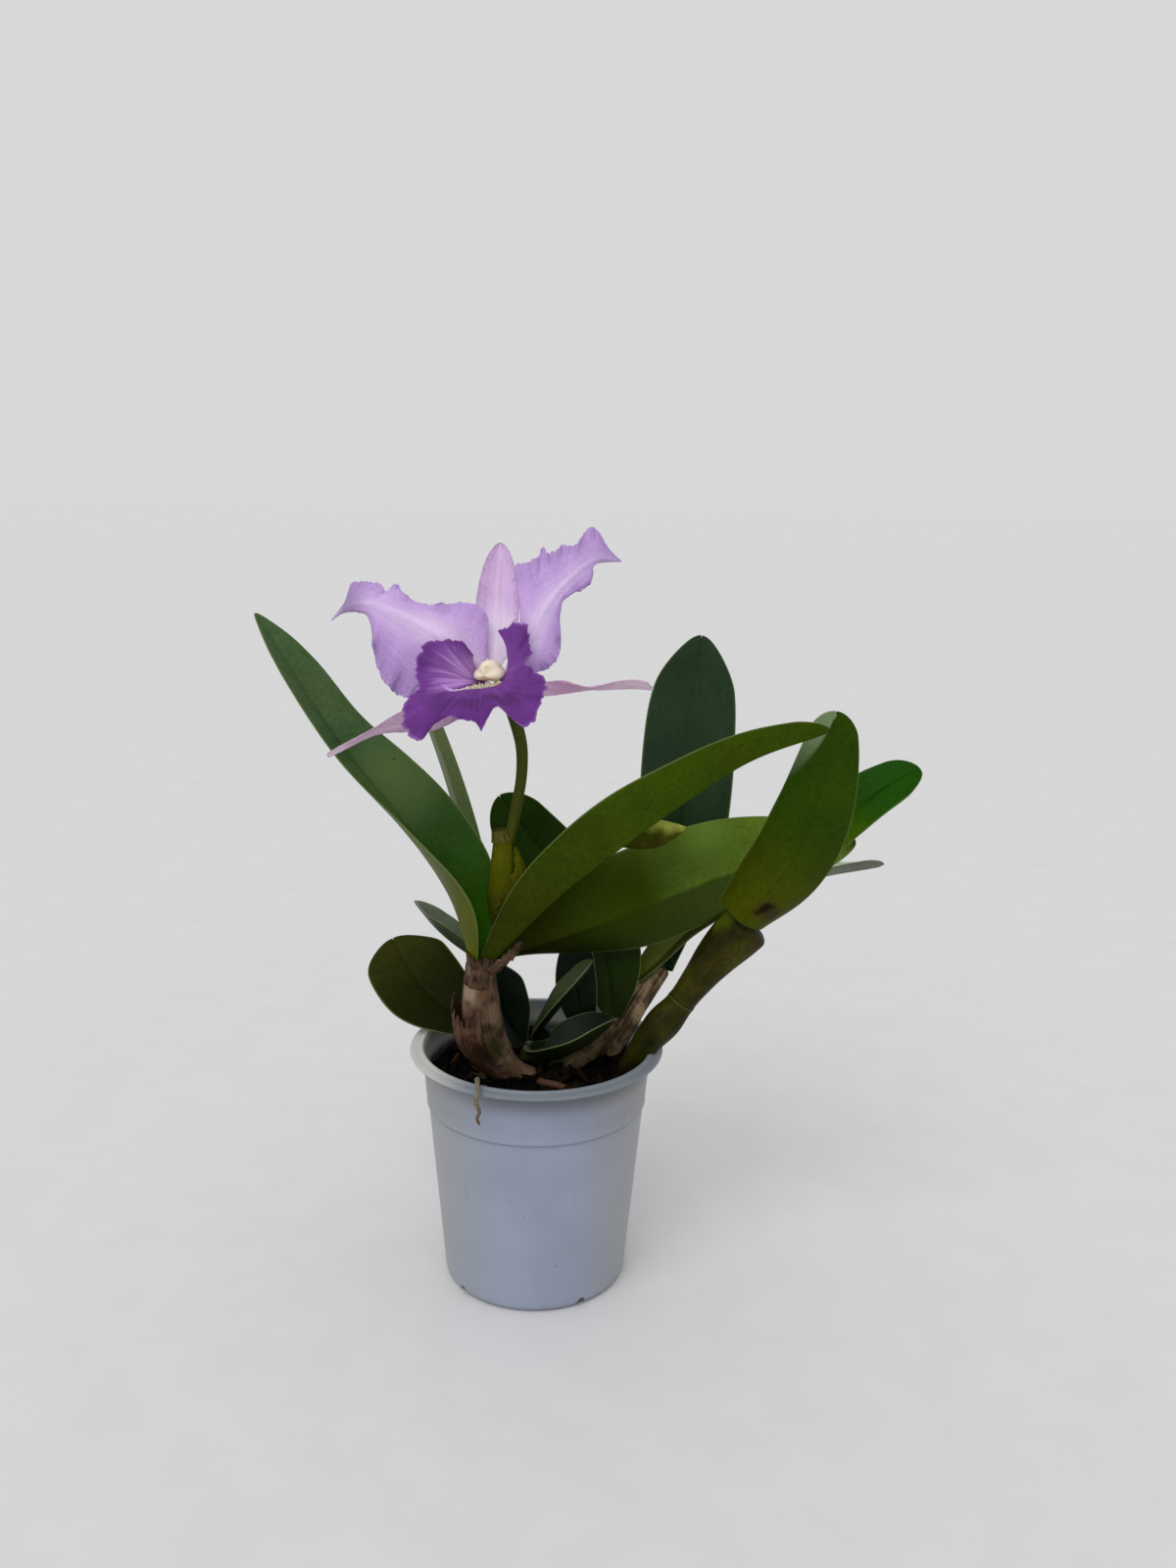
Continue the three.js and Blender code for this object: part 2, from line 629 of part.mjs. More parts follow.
// The lip's ribs run from its claw under the column, over the throat, to its margin.
// They go round from the top of the left side lobe, under the column, to the right one.
const lipRibs = [
  [[-5, 0, 2], [-8.5, 4, 7], [-9, 8, 9], [-9, 11, 9]],
  [[-5, -1, 2], [-10, 2, 8], [-15, 9, 11], [-18, 16, 10]],
  [[-4.8, -2, 2], [-11, 0, 9], [-20, 7, 13], [-28, 13, 12]],
  [[-4.5, -3, 2], [-11, -2, 10], [-21, 1, 15], [-32, 4, 14]],
  [[-4, -3.5, 2], [-11, -4, 12], [-22, -6, 18], [-34, -9, 17]],
  [[-3.5, -4, 2], [-10, -5, 13], [-23, -11, 22], [-38, -18, 20]],
  [[-3, -4.5, 2], [-9, -5.5, 14], [-19, -13, 24], [-31, -27, 22]],
  [[-2, -5, 2], [-7, -6, 15], [-13, -12, 25], [-19, -17, 25]],
  [[-1, -5, 2], [-5, -6, 15], [-7, -13, 25], [-8, -20, 25]],
  [[0, -5, 2], [-2.5, -5.5, 15], [-1, -10, 24], [1, -15, 25]],
  [[1, -5, 2], [0, -5, 14], [5, -11, 22], [11, -19, 22]],
  [[2, -4.5, 2], [2, -4, 13], [10, -8, 19], [19, -12, 18]],
  [[3.5, -4, 2], [3, -3, 11], [12, -3, 16], [21, -3, 15]],
  [[4.2, -3, 2], [4, -1, 9], [10, 1, 13], [15, 4, 12]],
  [[4.8, -2, 2], [5, 1, 8], [9, 6, 10], [15, 11, 9]],
  [[5, -1, 2], [5.5, 3, 7], [7, 11, 8], [13, 18, 7]],
  [[5, 0, 2], [5.5, 4, 6], [4.5, 12, 7], [5, 20, 6]],
];

function lipSurface(u, v) {
  const out = (v + 1) / 2;
  const rows = lipRibs.map((rib) => pointAlong(rib, out).toArray());
  const point = pointAlong(rows, u);
  const wave = LIP_FRILL * Math.sin(2 * Math.PI * LIP_WAVES * u) * out ** 4;
  point.z += wave;
  point.y += 0.8 * wave;
  return point;
}

function makeLip() {
  const size = { rows: LIP_ROWS, columns: LIP_COLUMNS, thickness: TEPAL_THICKNESS };
  return blade(lipSurface, size);
}

const columnSpec = {
  path: [[0, 0, -3.4], [-0.6, 0.4, 3], [-2.6, 1.6, 9], [-5, 0.8, 14]],
  radii: [2.9, 3.2, 4.4, 2.4],
  sides: 10,
  rings: 8,
};

// ---------------------------------------------------------------- flower stem, sheath, roots

const stemSpec = {
  path: [[-20, -21, 178], [-15, -23, 204], [-10, -26, 227], [-6, -30, 246], [-5, -32, 262],
    [-8, -31, 277], [-13, -29, 288], [-16.5, -30.5, 295.5], [-17, -35.8, 297.6]],
  radii: [1.8, 2, 2.2, 2.4, 2.6, 2.9, 2.7],
  sides: 8,
  rings: 26,
};

const sheaths = {
  flower_sheath: {
    path: [[-24, -20, 163], [-19, -19.5, 188], [-15, -23, 208], [-15, -26, 228]],
    radii: [2, 3.6, 6.6, 7, 3.4],
    flat: 0.55,
    turn: 90,
    beside: ['right_leaf'],
  },
  young_sheath: {
    path: [[-21, -18, 166], [4, -18, 191], [28, -18, 210], [49, -20, 225], [67, -22, 228]],
    radii: [1.6, 2.6, 4.5, 7, 6, 1],
    flat: 0.5,
    turn: 90,
    sides: 10,
    rings: 14,
  },
};

const roots = {
  hanging_root: {
    path: [[-25, -36, 101], [-25, -43, 111], [-24.5, -48, 118], [-24, -53, 118.3],
      [-23.5, -57.2, 115.5], [-23, -58, 109], [-23.5, -57.4, 102]],
    radii: [1.4, 1.4, 1.3, 1.2, 1.2, 0.9],
    sides: 6,
    rings: 20,
  },
  surface_root: {
    path: [[3, -16, 103], [8, -26, 105], [15, -30, 106], [25, -27, 103]],
    radii: [1.8, 1.8, 1.6, 1.2],
    sides: 6,
    rings: 8,
  },
};

// ---------------------------------------------------------------- assembly

add('pot', makePot(), finishes.plastic);
add('growing_medium', makeMedium(), finishes.bark);
const bulbRooms = Object.keys(bulbs).map(bulbRoom);
add('rhizome', cutBy(stalk(rhizomeSpec), ...bulbRooms), finishes.stem);

const bulbFinish = { right_pseudobulb: finishes.greenBulb, small_growth: finishes.greenBulb };
for (const [name, spec] of Object.entries(bulbs)) {
  add(name, cutBy(stalk(spec), rimRoom()), bulbFinish[name] ?? finishes.husk);
}

const roomsBeside = ({ beside = [] }) => beside.map((name) => makeLeaf(leaves[name], GAP));
for (const [name, spec] of Object.entries(leaves)) {
  add(name, cutBy(makeLeaf(spec), ...bulbRooms, ...roomsBeside(spec)), finishes[spec.material]);
}

for (const [name, spec] of Object.entries(tepals)) {
  const size = { rows: TEPAL_ROWS, columns: TEPAL_COLUMNS, thickness: TEPAL_THICKNESS };
  add(name, blade(tepalSurface(spec), size), finishes[spec.material], flower);
}
add('lip', makeLip(), finishes.lip, flower);
add('column', stalk(columnSpec), finishes.column, flower);
add('flower_stem', stalk(stemSpec), finishes.flowerStem);

const stemRoom = stalk({ ...stemSpec, grow: GAP });
for (const [name, spec] of Object.entries(sheaths)) {
  add(name, cutBy(stalk(spec), stemRoom, ...bulbRooms, ...roomsBeside(spec)), finishes.sheath);
}
for (const [name, spec] of Object.entries(roots)) {
  add(name, stalk(spec), finishes.root);
}

export default plant;
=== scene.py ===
# A cattleya orchid in flower in a plastic nursery pot.
import math

import bpy
import numpy as np
from mathutils import Euler, Matrix, Vector


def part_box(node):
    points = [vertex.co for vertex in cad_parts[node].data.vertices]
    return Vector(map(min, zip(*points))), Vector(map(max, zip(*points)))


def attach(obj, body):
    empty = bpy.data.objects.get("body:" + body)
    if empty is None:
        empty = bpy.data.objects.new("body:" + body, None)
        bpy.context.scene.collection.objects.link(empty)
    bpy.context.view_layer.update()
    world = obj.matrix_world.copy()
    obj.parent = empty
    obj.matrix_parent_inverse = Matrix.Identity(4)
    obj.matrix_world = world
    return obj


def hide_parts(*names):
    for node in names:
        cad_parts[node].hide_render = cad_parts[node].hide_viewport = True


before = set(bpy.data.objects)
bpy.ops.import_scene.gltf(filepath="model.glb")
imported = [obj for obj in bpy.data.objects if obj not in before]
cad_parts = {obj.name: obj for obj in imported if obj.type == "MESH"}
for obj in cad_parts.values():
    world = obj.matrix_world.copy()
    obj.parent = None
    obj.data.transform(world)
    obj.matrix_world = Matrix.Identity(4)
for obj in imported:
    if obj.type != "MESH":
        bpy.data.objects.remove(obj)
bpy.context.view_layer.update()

bl_info = {
    "name": "Cattleya Orchid",
    "version": (1, 0, 0),
    "blender": (4, 5, 0),
    "location": "3D View > Sidebar > Orchid",
    "description": "Models a cattleya orchid in flower in its nursery pot, piece by piece",
    "category": "Add Mesh",
}

MM = 0.001          # the lists of places and widths below are in millimetres
BODY = "root"       # the plant and its pot move as one
POT_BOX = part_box("pot")


def paint(colour, factor=1):
    """A colour, or a code such as #7f9a40, as scene-linear red, green and blue times factor."""
    if isinstance(colour, str):
        levels = [int(colour[k:k + 2], 16) / 255 for k in (1, 3, 5)]
        colour = [c / 12.92 if c <= 0.04045 else ((c + 0.055) / 1.055) ** 2.4 for c in levels]
    return tuple(factor * c for c in colour)


# ---------------------------------------------------------------- the pot

POT_WALL = 1.4
POT_WALL_BOTTOM = 43.4      # outer radius just above the rounded foot
POT_WALL_TOP = 54.1         # outer radius just under the rim
POT_FOOT = 41.5
POT_STEP_HEIGHT = 88
POT_STEP = 0.6
POT_RIM_DEPTH = 2.8
POT_FLOOR = 2
DRAIN_ANGLES = (-49, 32, 85, 130, 175, 220, 265)    # from the front, in degrees
DRAIN_WIDTH = 5.5
DRAIN_HEIGHT = 4
DRAIN_DEPTH = 18            # of the body that cuts a notch
MEDIUM_LEVEL = 103          # mean height of the medium's surface
MEDIUM_GAP = 0.3            # between the medium and the pot's wall
MEDIUM_RINGS = (49.5, 0.8, 48)      # radius of its outer and inner ring, and their number
MOSS_EDGE = -20             # left of here some chips are mossy or rusty
MOSSY_SHARE = 0.35
MOSSY_TONE = 1.1            # what is added to the tone of those chips
CRUMBS = 420
RUSTY_SHARE = 0.06          # of the crumbs
RUSTY_TONE = 1.6

# ---------------------------------------------------------------- the leaves

# A leaf follows its path. face is the way its upper side looks at the base, middle and tip,
# width its half width, fold the angle each half rises from the midrib, and cup how much
# further each half has turned at its margin, all spread evenly from base to tip. tip is the
# length in which it rounds off. The rest is the leaf's finish. Its colours hold painted light
# and shade: the darker leaves deep in the foliage carry painted shade, the greyish upper colours
# of some carry a painted sheen of the sky, some have a painted shade on one half, and one has a
# painted sheen beside a margin. Its slot is dark_leaf unless said.
LEAVES = {
    "left_leaf": dict(
        path=[(-29, -21, 164), (-39, -20, 195), (-60, -19, 227), (-87, -17, 261),
              (-107, -15, 292), (-124, -13, 319)],
        face=[(0.75, -0.5, 0.35), (0.7, -0.6, 0.4), (0.6, -0.7, 0.4)],
        width=[5, 22.5, 25, 21, 15, 11.5, 4], fold=[58, 44, 32, 28], cup=[30, 15, 10, 8],
        # its greyish upper colour and its large greyish patch are partly a painted sheen of the
        # sky; the small dark patch is a brown speck of its own
        tip=20, slot="leaf", upper="#4b6540", under="#566012", foot="#295200",
        under_foot="#565c0a", foot_reach=0.42, shine=0.08,
        patches=[((-28.5, -22, 181), 2, "#2a1808"), ((-64, -18, 245), 26, "#536d3c")]),
    "right_leaf": dict(
        path=[(-21, -24, 164), (6, -31, 195), (27.4, -36, 215.2), (60, -44, 243), (90, -50, 265),
              (122, -57, 279)],
        face=[(-0.43, 0.3, 0.8), (-0.43, 0.35, 0.8), (-0.3, 0.5, 0.8)],
        width=[5, 15.5, 20.5, 21.5, 18, 13, 7], fold=[62, 56, 46, 36], cup=[12, 10, 8, 8],
        tip=14, slot="leaf", upper="#3a4e03", under="#3a4e03", foot="#323a02", foot_reach=0.35,
        shine=0.05),
    "broad_leaf": dict(
        path=[(-22, -17, 163), (15, -11, 174), (48, -5, 185), (84, 9, 196), (120, 23, 203),
              (153, 32, 208)],
        face=[(-0.15, 0.8, 0.3), (-0.15, 0.95, 0.15), (-0.15, 0.95, 0.15)],
        width=[5, 19, 27, 28, 26, 19, 9], fold=[30, 18, 14, 12], cup=[30, 10, 8, 8],
        # its colours paint the light across it: the pale under colour is painted light where the
        # wide leaf casts its shadow, the dark foot reaching far along it and the first patch are
        # painted shade along its middle, its lower half is darkened as painted shade, and the
        # second patch is painted light on its upper half
        tip=16, slot="leaf", upper="#2b3c08", under="#8cb044", foot="#262e00", foot_reach=0.88,
        shine=0.02, shaded_halves=(0.6, 1), patches=[
            ((40, -7, 191), 30, "#304002"), ((80, 11, 217), 17, "#607e30"),
            ((154, 32, 209), 15, "#2c3c0c")]),
    "wide_leaf": dict(
        path=[(93, -19, 183), (112, -25, 211), (121, -31, 236), (125.6, -36, 262),
              (127, -39, 284)],
        face=[(0, 0.95, -0.05), (0.1, 0.95, -0.1), (0.1, 0.95, -0.1)],
        width=[16, 19.5, 20, 19, 16.5, 13, 9], fold=[15, 16, 14, 12], cup=[50, 22, 12, 10],
        tip=12, slot="leaf", upper="#3a5a2a", under="#2e4a02", foot="#424a00", foot_reach=0.4,
        # the strip is a painted sheen: greyish green along its curled upper margin
        shine=0.05, strip=("#748962", 0.35, 0.8),
        patches=[((103, -19, 190), 9, "#4a3c12"), ((100.6, -19, 190.6), 5, "#0c0604"),
                 ((104.4, -19, 191.4), 5, "#0c0604"), ((107, -18.5, 187), 7, "#33301a")]),
    "bright_leaf": dict(
        path=[(102, -4, 177), (129, 4, 208), (149, 8, 231), (165, 10, 243), (177, 11, 249)],
        face=[(-0.5, -0.55, 0.6), (-0.45, -0.7, 0.55), (-0.35, -0.75, 0.55)],
        width=[6, 12, 15, 16, 15, 12, 8], second=[5, 5, 7, 10, 12.5, 12, 8],
        fold=[30, 18, 12, 10], cup=[30, 15, 10, 10], tip=13, slot="bright_leaf",
        upper="#204d02", under="#2c520a", foot="#7a9c06", foot_reach=0.55, shine=0.05),
    "tall_leaf": dict(
        path=[(62, 30, 142), (68, 42, 184), (70, 46, 224), (72, 48, 266), (76, 47, 306)],
        face=[(-0.2, -0.9, 0.1), (0, -1, 0.1), (0, -1, 0.1)],
        width=[5, 14, 21, 23, 23, 20.5, 12], fold=[25, 14, 10, 8], cup=[20, 10, 8, 5],
        # its greyish upper colour is partly a painted sheen of the sky
        tip=26, upper="#213b20", under="#3d5a20", foot="#274122", shine=0.3),
    "narrow_leaf": dict(
        path=[(49, 26, 138), (60, 26, 149), (76, 30, 164), (103, 36, 178),
              (135, 41, 188), (170, 44, 194)],
        face=[(-0.5, -0.6, 0.6), (-0.4, -0.3, 0.8), (-0.1, 0.4, 0.8)],
        width=[6, 12, 14, 12, 10, 6], fold=[35, 28, 22, 18], cup=[20, 10, 10, 10],
        # its pale grey colours are a painted sheen of the sky, and one half is darkened as
        # painted shade
        tip=12, upper="#d0dcc6", under="#d0dcc6", foot="#6c7620", foot_reach=0.7,
        shine=0.12, shaded_halves=(1, 0.25)),
    "middle_leaf": dict(
        path=[(37, 14, 123), (35, 17, 139), (30, 20, 157), (19, 21, 179), (5, 20, 199),
              (-8, 17, 217), (-19, 14, 233)],
        face=[(0, -1, 0.1), (0.1, -1, 0.1), (0, -1, 0.2)],
        width=[4, 16, 20, 20, 18, 15, 11], fold=[14, 8, 8, 8], cup=[14, 6, 6, 6],
        tip=14, upper="#26400a", under="#3d5a20", foot="#1d2d04", shine=0.08),
    "shade_leaf": dict(
        path=[(24, 6, 117), (20, 7, 132), (18, 8, 149), (19, 9, 167)],
        face=[(0, -1, 0.2), (0, -1, 0.2), (0, -1, 0.2)],
        width=[3, 8, 10, 9, 6], fold=[12, 8, 8, 8], cup=[10, 8, 8, 8],
        # its near black colours are painted shade, deep in the foliage
        tip=11, upper="#0c180a", under="#3d5a20", foot="#0c180a", shine=0.15),
    "round_leaf": dict(
        path=[(-27, 18, 114), (-42, 21, 121), (-56, 29, 129), (-67, 41, 139), (-76, 54, 148)],
        face=[(0.6, -0.5, 0.6), (0.3, -0.8, 0.5), (0.2, -0.85, 0.5)],
        width=[5, 16, 21, 22, 20, 13], fold=[20, 10, 6, 5], cup=[20, 12, 8, 8],
        tip=18, upper="#373a12", under="#3d4a20", foot="#181e04", foot_reach=0.85,
        shine=0.03),
    "pointed_leaf": dict(
        path=[(-29, 22, 149), (-43, 32, 155), (-54, 42, 161), (-64, 54, 168)],
        face=[(0.5, 0.2, 0.8), (0.4, 0.1, 0.9), (0.4, 0, 0.9)],
        width=[4, 9, 11, 9, 6], fold=[35, 30, 25, 20], cup=[15, 10, 10, 10],
        # its greyish colours are partly a painted sheen of the sky
        tip=12, upper="#56624a", under="#4a5640", foot="#3a4430", shine=0.35),
    "edge_leaf": dict(
        path=[(-26, 19, 145), (-28, 10, 180), (-34, 6, 211), (-42, 4, 242), (-50, 3, 267),
              (-60, 4, 294)],
        face=[(0.9, -0.2, 0.2), (0.9, -0.1, 0.3), (0.8, -0.1, 0.5)],
        width=[4, 9, 11, 11, 10, 8], fold=[30, 22, 18, 15], cup=[15, 10, 8, 8],
        tip=12, slot="leaf", upper="#61743e", under="#61743e", foot="#506224", shine=0.15),
    "inner_leaf": dict(
        path=[(-7, 5, 113), (-15, 6, 125), (-21, 6, 139), (-25, 5, 154)],
        face=[(0.2, -0.9, 0.1), (0.1, -1, 0.2), (0.1, -0.9, 0.4)],
        width=[3, 12, 15, 15, 11], fold=[20, 12, 10, 8], cup=[15, 10, 8, 8],
        # its near black colours are painted shade, deep in the foliage
        tip=14, upper="#0c180a", under="#1c2c14", foot="#0c180a", shine=0.15),
    "boat_leaf": dict(
        path=[(-4, 5, 111), (3, -6, 110), (12, -9, 113), (24, -10, 120), (37, -10, 132)],
        face=[(-0.3, 0.1, 0.9), (-0.3, -0.1, 0.9), (-0.4, -0.1, 0.9)],
        width=[3, 11, 15, 14, 9], fold=[35, 40, 38, 30], cup=[20, 15, 10, 10],
        tip=12, upper="#101c10", under="#2c3a16", foot="#141f0a", shine=0.25,
        # one half is darkened as painted shade
        shaded_halves=(1, 0.7)),
    "slant_leaf": dict(
        path=[(-1, 6, 117), (6, 2, 128), (13, -2, 139), (20, -4, 149), (26, -5, 159)],
        face=[(-0.6, -0.2, 0.8), (-0.6, -0.2, 0.7), (-0.5, -0.2, 0.8)],
        width=[3, 6, 8.5, 8, 5], fold=[35, 30, 25, 20], cup=[15, 10, 10, 10],
        tip=9, upper="#42522e", under="#2a381c", foot="#283618", shine=0.35,
        # one half is darkened as painted shade
        shaded_halves=(1, 0.25)),
}
LEAF_NOTCH = 1.4            # depth of the nick at a leaf's tip
LEAF_KEEL = 0.5             # height of the midrib under a leaf
LEAF_RIPPLE = 0.02          # rise of a margin's slow waves, as a share of the half width
HUSK_THICKNESS = 0.3
LEAF_ROWS = 84
LEAF_COLUMNS = 26

# ---------------------------------------------------------------- the bulbs and the stems

BULBS = {
    "front_pseudobulb": dict(
        path=[(0, -9, 102), (-8, -11, 105), (-16, -12, 112), (-22.5, -13, 123),
              (-25.3, -15, 136), (-25.6, -18, 152), (-25, -20, 166)],
        radii=[4.3, 5.6, 7.8, 8.9, 8.6, 7.2, 6]),
    "back_left_pseudobulb": dict(
        path=[(-4, 16, 99), (-13, 20, 104), (-21, 23, 118), (-24, 23, 134), (-25, 21, 148)],
        radii=[4, 6, 8, 7, 5]),
    "middle_pseudobulb": dict(
        path=[(8, -3, 102), (17, 1, 107), (27, 6, 113), (37, 11, 123)],
        radii=[4, 6, 6, 4]),
    "back_right_pseudobulb": dict(
        path=[(33, 18, 99), (40, 18, 113), (50, 23, 130), (61, 28, 145)],
        radii=[4.5, 5.5, 5.5, 4.5]),
    "right_pseudobulb": dict(
        path=[(41, 0, 99), (46, -7, 111), (54, -8, 123), (65, -6, 136), (74, -6, 149),
              (85, -6, 164), (98.6, -8, 180)],
        radii=[4.4, 5, 6.8, 8.4, 6.8, 7.8, 9.8, 11.6, 12.4], flat=0.88),
    "small_growth": dict(
        path=[(-5, 5, 98), (-4, 6, 105), (-4, 7, 113)], radii=[4, 4.5, 3]),
}
OLD_HUSK = dict(
    path=[(-6, -9, 103), (-17, -10, 109), (-26, -12, 122), (-28.5, -15, 136),
          (-28, -18, 152)],
    radii=[5, 8, 10, 9.6, 8])
COLLAR = dict(path=[(-25.6, -18, 153), (-25, -20, 161), (-24.4, -20.5, 168)],
              radii=[7.2, 6.2, 6.6])
COLLAR_FLAP = dict(path=[(-20.5, -26, 160), (-15.5, -28, 164.5), (-10.5, -29.5, 170),
                         (-6, -30.5, 176)], width=[2.2, 2, 2, 1.2])
RHIZOME = dict(
    path=[(5, -9, 97), (16, -2, 95), (30, 8, 95), (42, 8, 95), (46, 3, 96)],
    radii=[4.5, 5, 5, 5, 4])

STEM = dict(
    path=[(-20, -21, 178), (-16, -22.5, 204), (-11.2, -25, 225), (-8.5, -28, 239.1),
          (-6.6, -29.5, 251), (-6.3, -31.5, 263.4), (-8.4, -32, 274), (-13, -29, 287),
          (-16.5, -30.5, 295.5), (-17, -35.8, 297.6)],
    radii=[1.8, 1.9, 2.1, 2.3, 2.4, 2.6, 2.9, 2.7])
FLOWER_SHEATH = dict(
    path=[(-22, -20, 163), (-17, -21, 182.7), (-15.8, -23, 197.2), (-15.1, -24.5, 208.6),
          (-15.1, -25.5, 218.3), (-16.2, -26, 226.5)],
    radii=[2, 3.6, 5, 5.8, 5.6, 4.8, 2.8], flat=0.6, turn=90)
BRACT = dict(path=[(-15, -25, 176), (-12.1, -26.5, 191.3), (-7.5, -28, 204),
                   (-7.5, -28, 212), (-9.5, -27.5, 219)], width=[3, 4.4, 4.2, 2.6, 0.5])
YOUNG_SHEATH = dict(
    path=[(-21, -18, 166), (2, -19, 196), (20, -20, 213), (34, -22, 222), (48, -23.5, 224.5),
          (62, -24.5, 227.6), (67, -25, 229)],
    radii=[1.2, 1.2, 1.2, 1.2, 1.3, 1.9, 5.2, 6.4, 0.5], flat=0.5, turn=90)
HANGING_ROOT = dict(
    path=[(-25, -36, 101), (-25, -43, 111), (-24.5, -48, 118), (-24, -53, 118.6),
          (-23.2, -57.4, 116.4), (-24.3, -58.6, 112), (-22.8, -58, 107.5), (-23.8, -57.6, 104),
          (-22.6, -57.2, 100.5)],
    radii=[1.2, 1.2, 1.1, 1, 1.1, 0.8, 1, 0.8, 0.5])
SURFACE_ROOT = dict(
    path=[(1, -15, 103), (4, -22, 105), (9, -26, 106), (19, -26, 103)],
    radii=[1.8, 1.8, 1.6, 1.2])

# ---------------------------------------------------------------- the flower

# The flower has its own frame: x to the right, y up and z out towards the one who looks at it.
FLOWER_PLACE = (-17, -40, 297)
FLOWER_TILT = 10            # degrees that the flower looks up
CRINKLE = {"petal": 1, "sepal": 0.12}     # height of the finest waves at a margin

# low, mid and high run from the base of a sepal or petal to its tip.
TEPALS = {
    "dorsal_sepal": dict(
        low=[(-1.9, 4, -1.5), (-6.6, 14, -2.8), (-9, 26.9, -3.7), (-8.3, 37.3, -4.5),
             (-5.5, 48.4, -5.7), (-2, 54.9, -7.3), (0.3, 57, -9)],
        mid=[(0, 4, -1.5), (0, 14, -4), (0.1, 27, -6), (0.2, 37.9, -7), (0.6, 50, -8),
             (0.6, 56.9, -9)],
        high=[(2, 3.9, -1.5), (7.3, 13.9, -2.8), (9.2, 26.9, -3.7), (8.6, 37.5, -4.5),
              (6.6, 47.9, -5.7), (3.7, 54.4, -7.3), (0.9, 56.9, -9)],
        ruffle=0.3, waves=2, slot="sepal"),
    "left_petal": dict(
        low=[(-3.9, -0.9, 0.5), (-15.7, -5.7, 0.8), (-27.3, -9.2, 1.3), (-36.5, -10.1, 1.9),
             (-43.5, -6.8, 1.5), (-49, 0.8, 0.8), (-51.6, 9.9, 0.2), (-52.4, 18.3, -0.9),
             (-53.6, 24.1, -2.4), (-59.4, 26.4, -4.9), (-65.6, 26.5, -7.8),
             (-71.2, 22.8, -11)],
        mid=[(-4, 1, 0.5), (-12.9, 8.9, 2), (-24.4, 15.9, 4), (-35.7, 22.2, 5),
             (-46.3, 26.7, 4), (-55.6, 29.4, 1), (-63, 28.3, -4), (-71.2, 23, -11)],
        high=[(-4, 3, 0.5), (-3.3, 15.7, 0.7), (-3.9, 25.2, 1), (-10.2, 30, 1.4),
              (-16.8, 30, 1.9), (-23.3, 29.4, 2.3), (-29.8, 28.8, 2.8), (-35.2, 30.8, 2.7),
              (-39.4, 34.6, 2.3), (-42.6, 37.9, 1.4), (-45.4, 34.2, 0), (-50.2, 38.2, -1.7),
              (-56.8, 38.8, -4), (-61.9, 38.2, -6.3), (-65.2, 30.7, -8.7),
              (-71.2, 23.1, -11)],
        ruffle=1.5, waves=6, slot="petal"),
    "right_petal": dict(
        low=[(4, -0.9, 0.5), (12, 0.3, 0.8), (19.6, 2.3, 1.1), (24, 5, 1.6), (26.7, 9.6, 2),
             (27.2, 17.6, 2), (26.6, 24.8, 1.8), (28, 31.9, 1.2), (33.4, 35.7, 0.1),
             (38.7, 38.7, -1.5), (40.3, 43.8, -3.5), (40, 48, -5.7), (45.8, 49.3, -8.3),
             (52.2, 49.8, -11)],
        mid=[(3.9, 1, 0.5), (12, 11.4, 3), (17.4, 21.6, 4), (22.7, 31.1, 4), (28.8, 39, 3),
             (35.5, 45.5, 0), (42.5, 50.2, -4), (52.2, 50, -11)],
        high=[(4.1, 3, 0.5), (9.1, 18.8, 0.7), (10.8, 29, 0.9), (9.1, 37.7, 1.2),
              (7.4, 45.3, 1.6), (12.9, 47.7, 2.1), (16.7, 49, 2.5), (19, 53.7, 2.9),
              (21.9, 51, 2.7), (25.2, 52.9, 2.3), (27.8, 55.3, 1.6), (31.4, 54.4, 0.4),
              (34.9, 57.9, -0.8), (37.4, 62.4, -2.8), (41.5, 62.4, -4.8), (44.6, 57.9, -6.9),
              (48.2, 53.4, -8.9), (52.2, 50.1, -11)],
        ruffle=1.5, waves=6, slot="petal"),
    "left_lateral_sepal": dict(
        low=[(-1.6, -3.8, -1.5), (-13, -16.6, -2.4), (-26.2, -23.4, -2.8),
             (-37.2, -24.3, -2.1), (-45, -24.6, 0), (-51.1, -26.1, 2.6), (-57.9, -29.4, 5.7),
             (-63.6, -32.9, 8.5), (-68.1, -35.3, 11)],
        mid=[(-2.6, -2.6, -1.5), (-17.1, -10.8, 0), (-34.9, -19.9, 4), (-49, -24.4, 8),
             (-60, -30.4, 11), (-68.4, -34.4, 12)],
        high=[(-3.6, -1.6, -1.5), (-16.4, -5, 1.9), (-26.9, -9.6, 5.2), (-37.3, -15, 8.4),
              (-43.4, -18.7, 11), (-48.8, -22.6, 13.1), (-55.8, -26.5, 13.8),
              (-63, -30.4, 13.4), (-68.4, -33.5, 12.5)],
        ruffle=0.2, waves=1, slot="sepal"),
    "right_lateral_sepal": dict(
        low=[(1.5, -3.9, -1.5), (11.9, -7.3, -4.8), (20.7, -8, -8), (28.1, -7.1, -9),
             (34, -6.1, -10), (39.7, -5.2, -10), (45.2, -5, -10), (51.9, -4.6, -9.5),
             (58.6, -4.4, -9), (63.8, -4.6, -8.5), (66.4, -4.9, -8)],
        mid=[(2.6, -2.7, -1.5), (15, -5, -4), (30, -4.1, -3), (40.7, -4.5, -3),
             (58.1, -2.6, -4), (66.7, -4.3, -7)],
        high=[(3.6, -1.6, -1.5), (13.5, -1.8, -0.8), (21.6, -2, 0), (28.2, -1.6, 2),
              (34.1, -3.2, 4), (39.6, -4.3, 3.5), (45, -3.2, 3), (51.6, -1.4, 1.5),
              (58.2, -0.7, 0), (63.5, -1.4, -3), (66.3, -3.7, -6)],
        ruffle=0.2, waves=1, slot="sepal"),
}

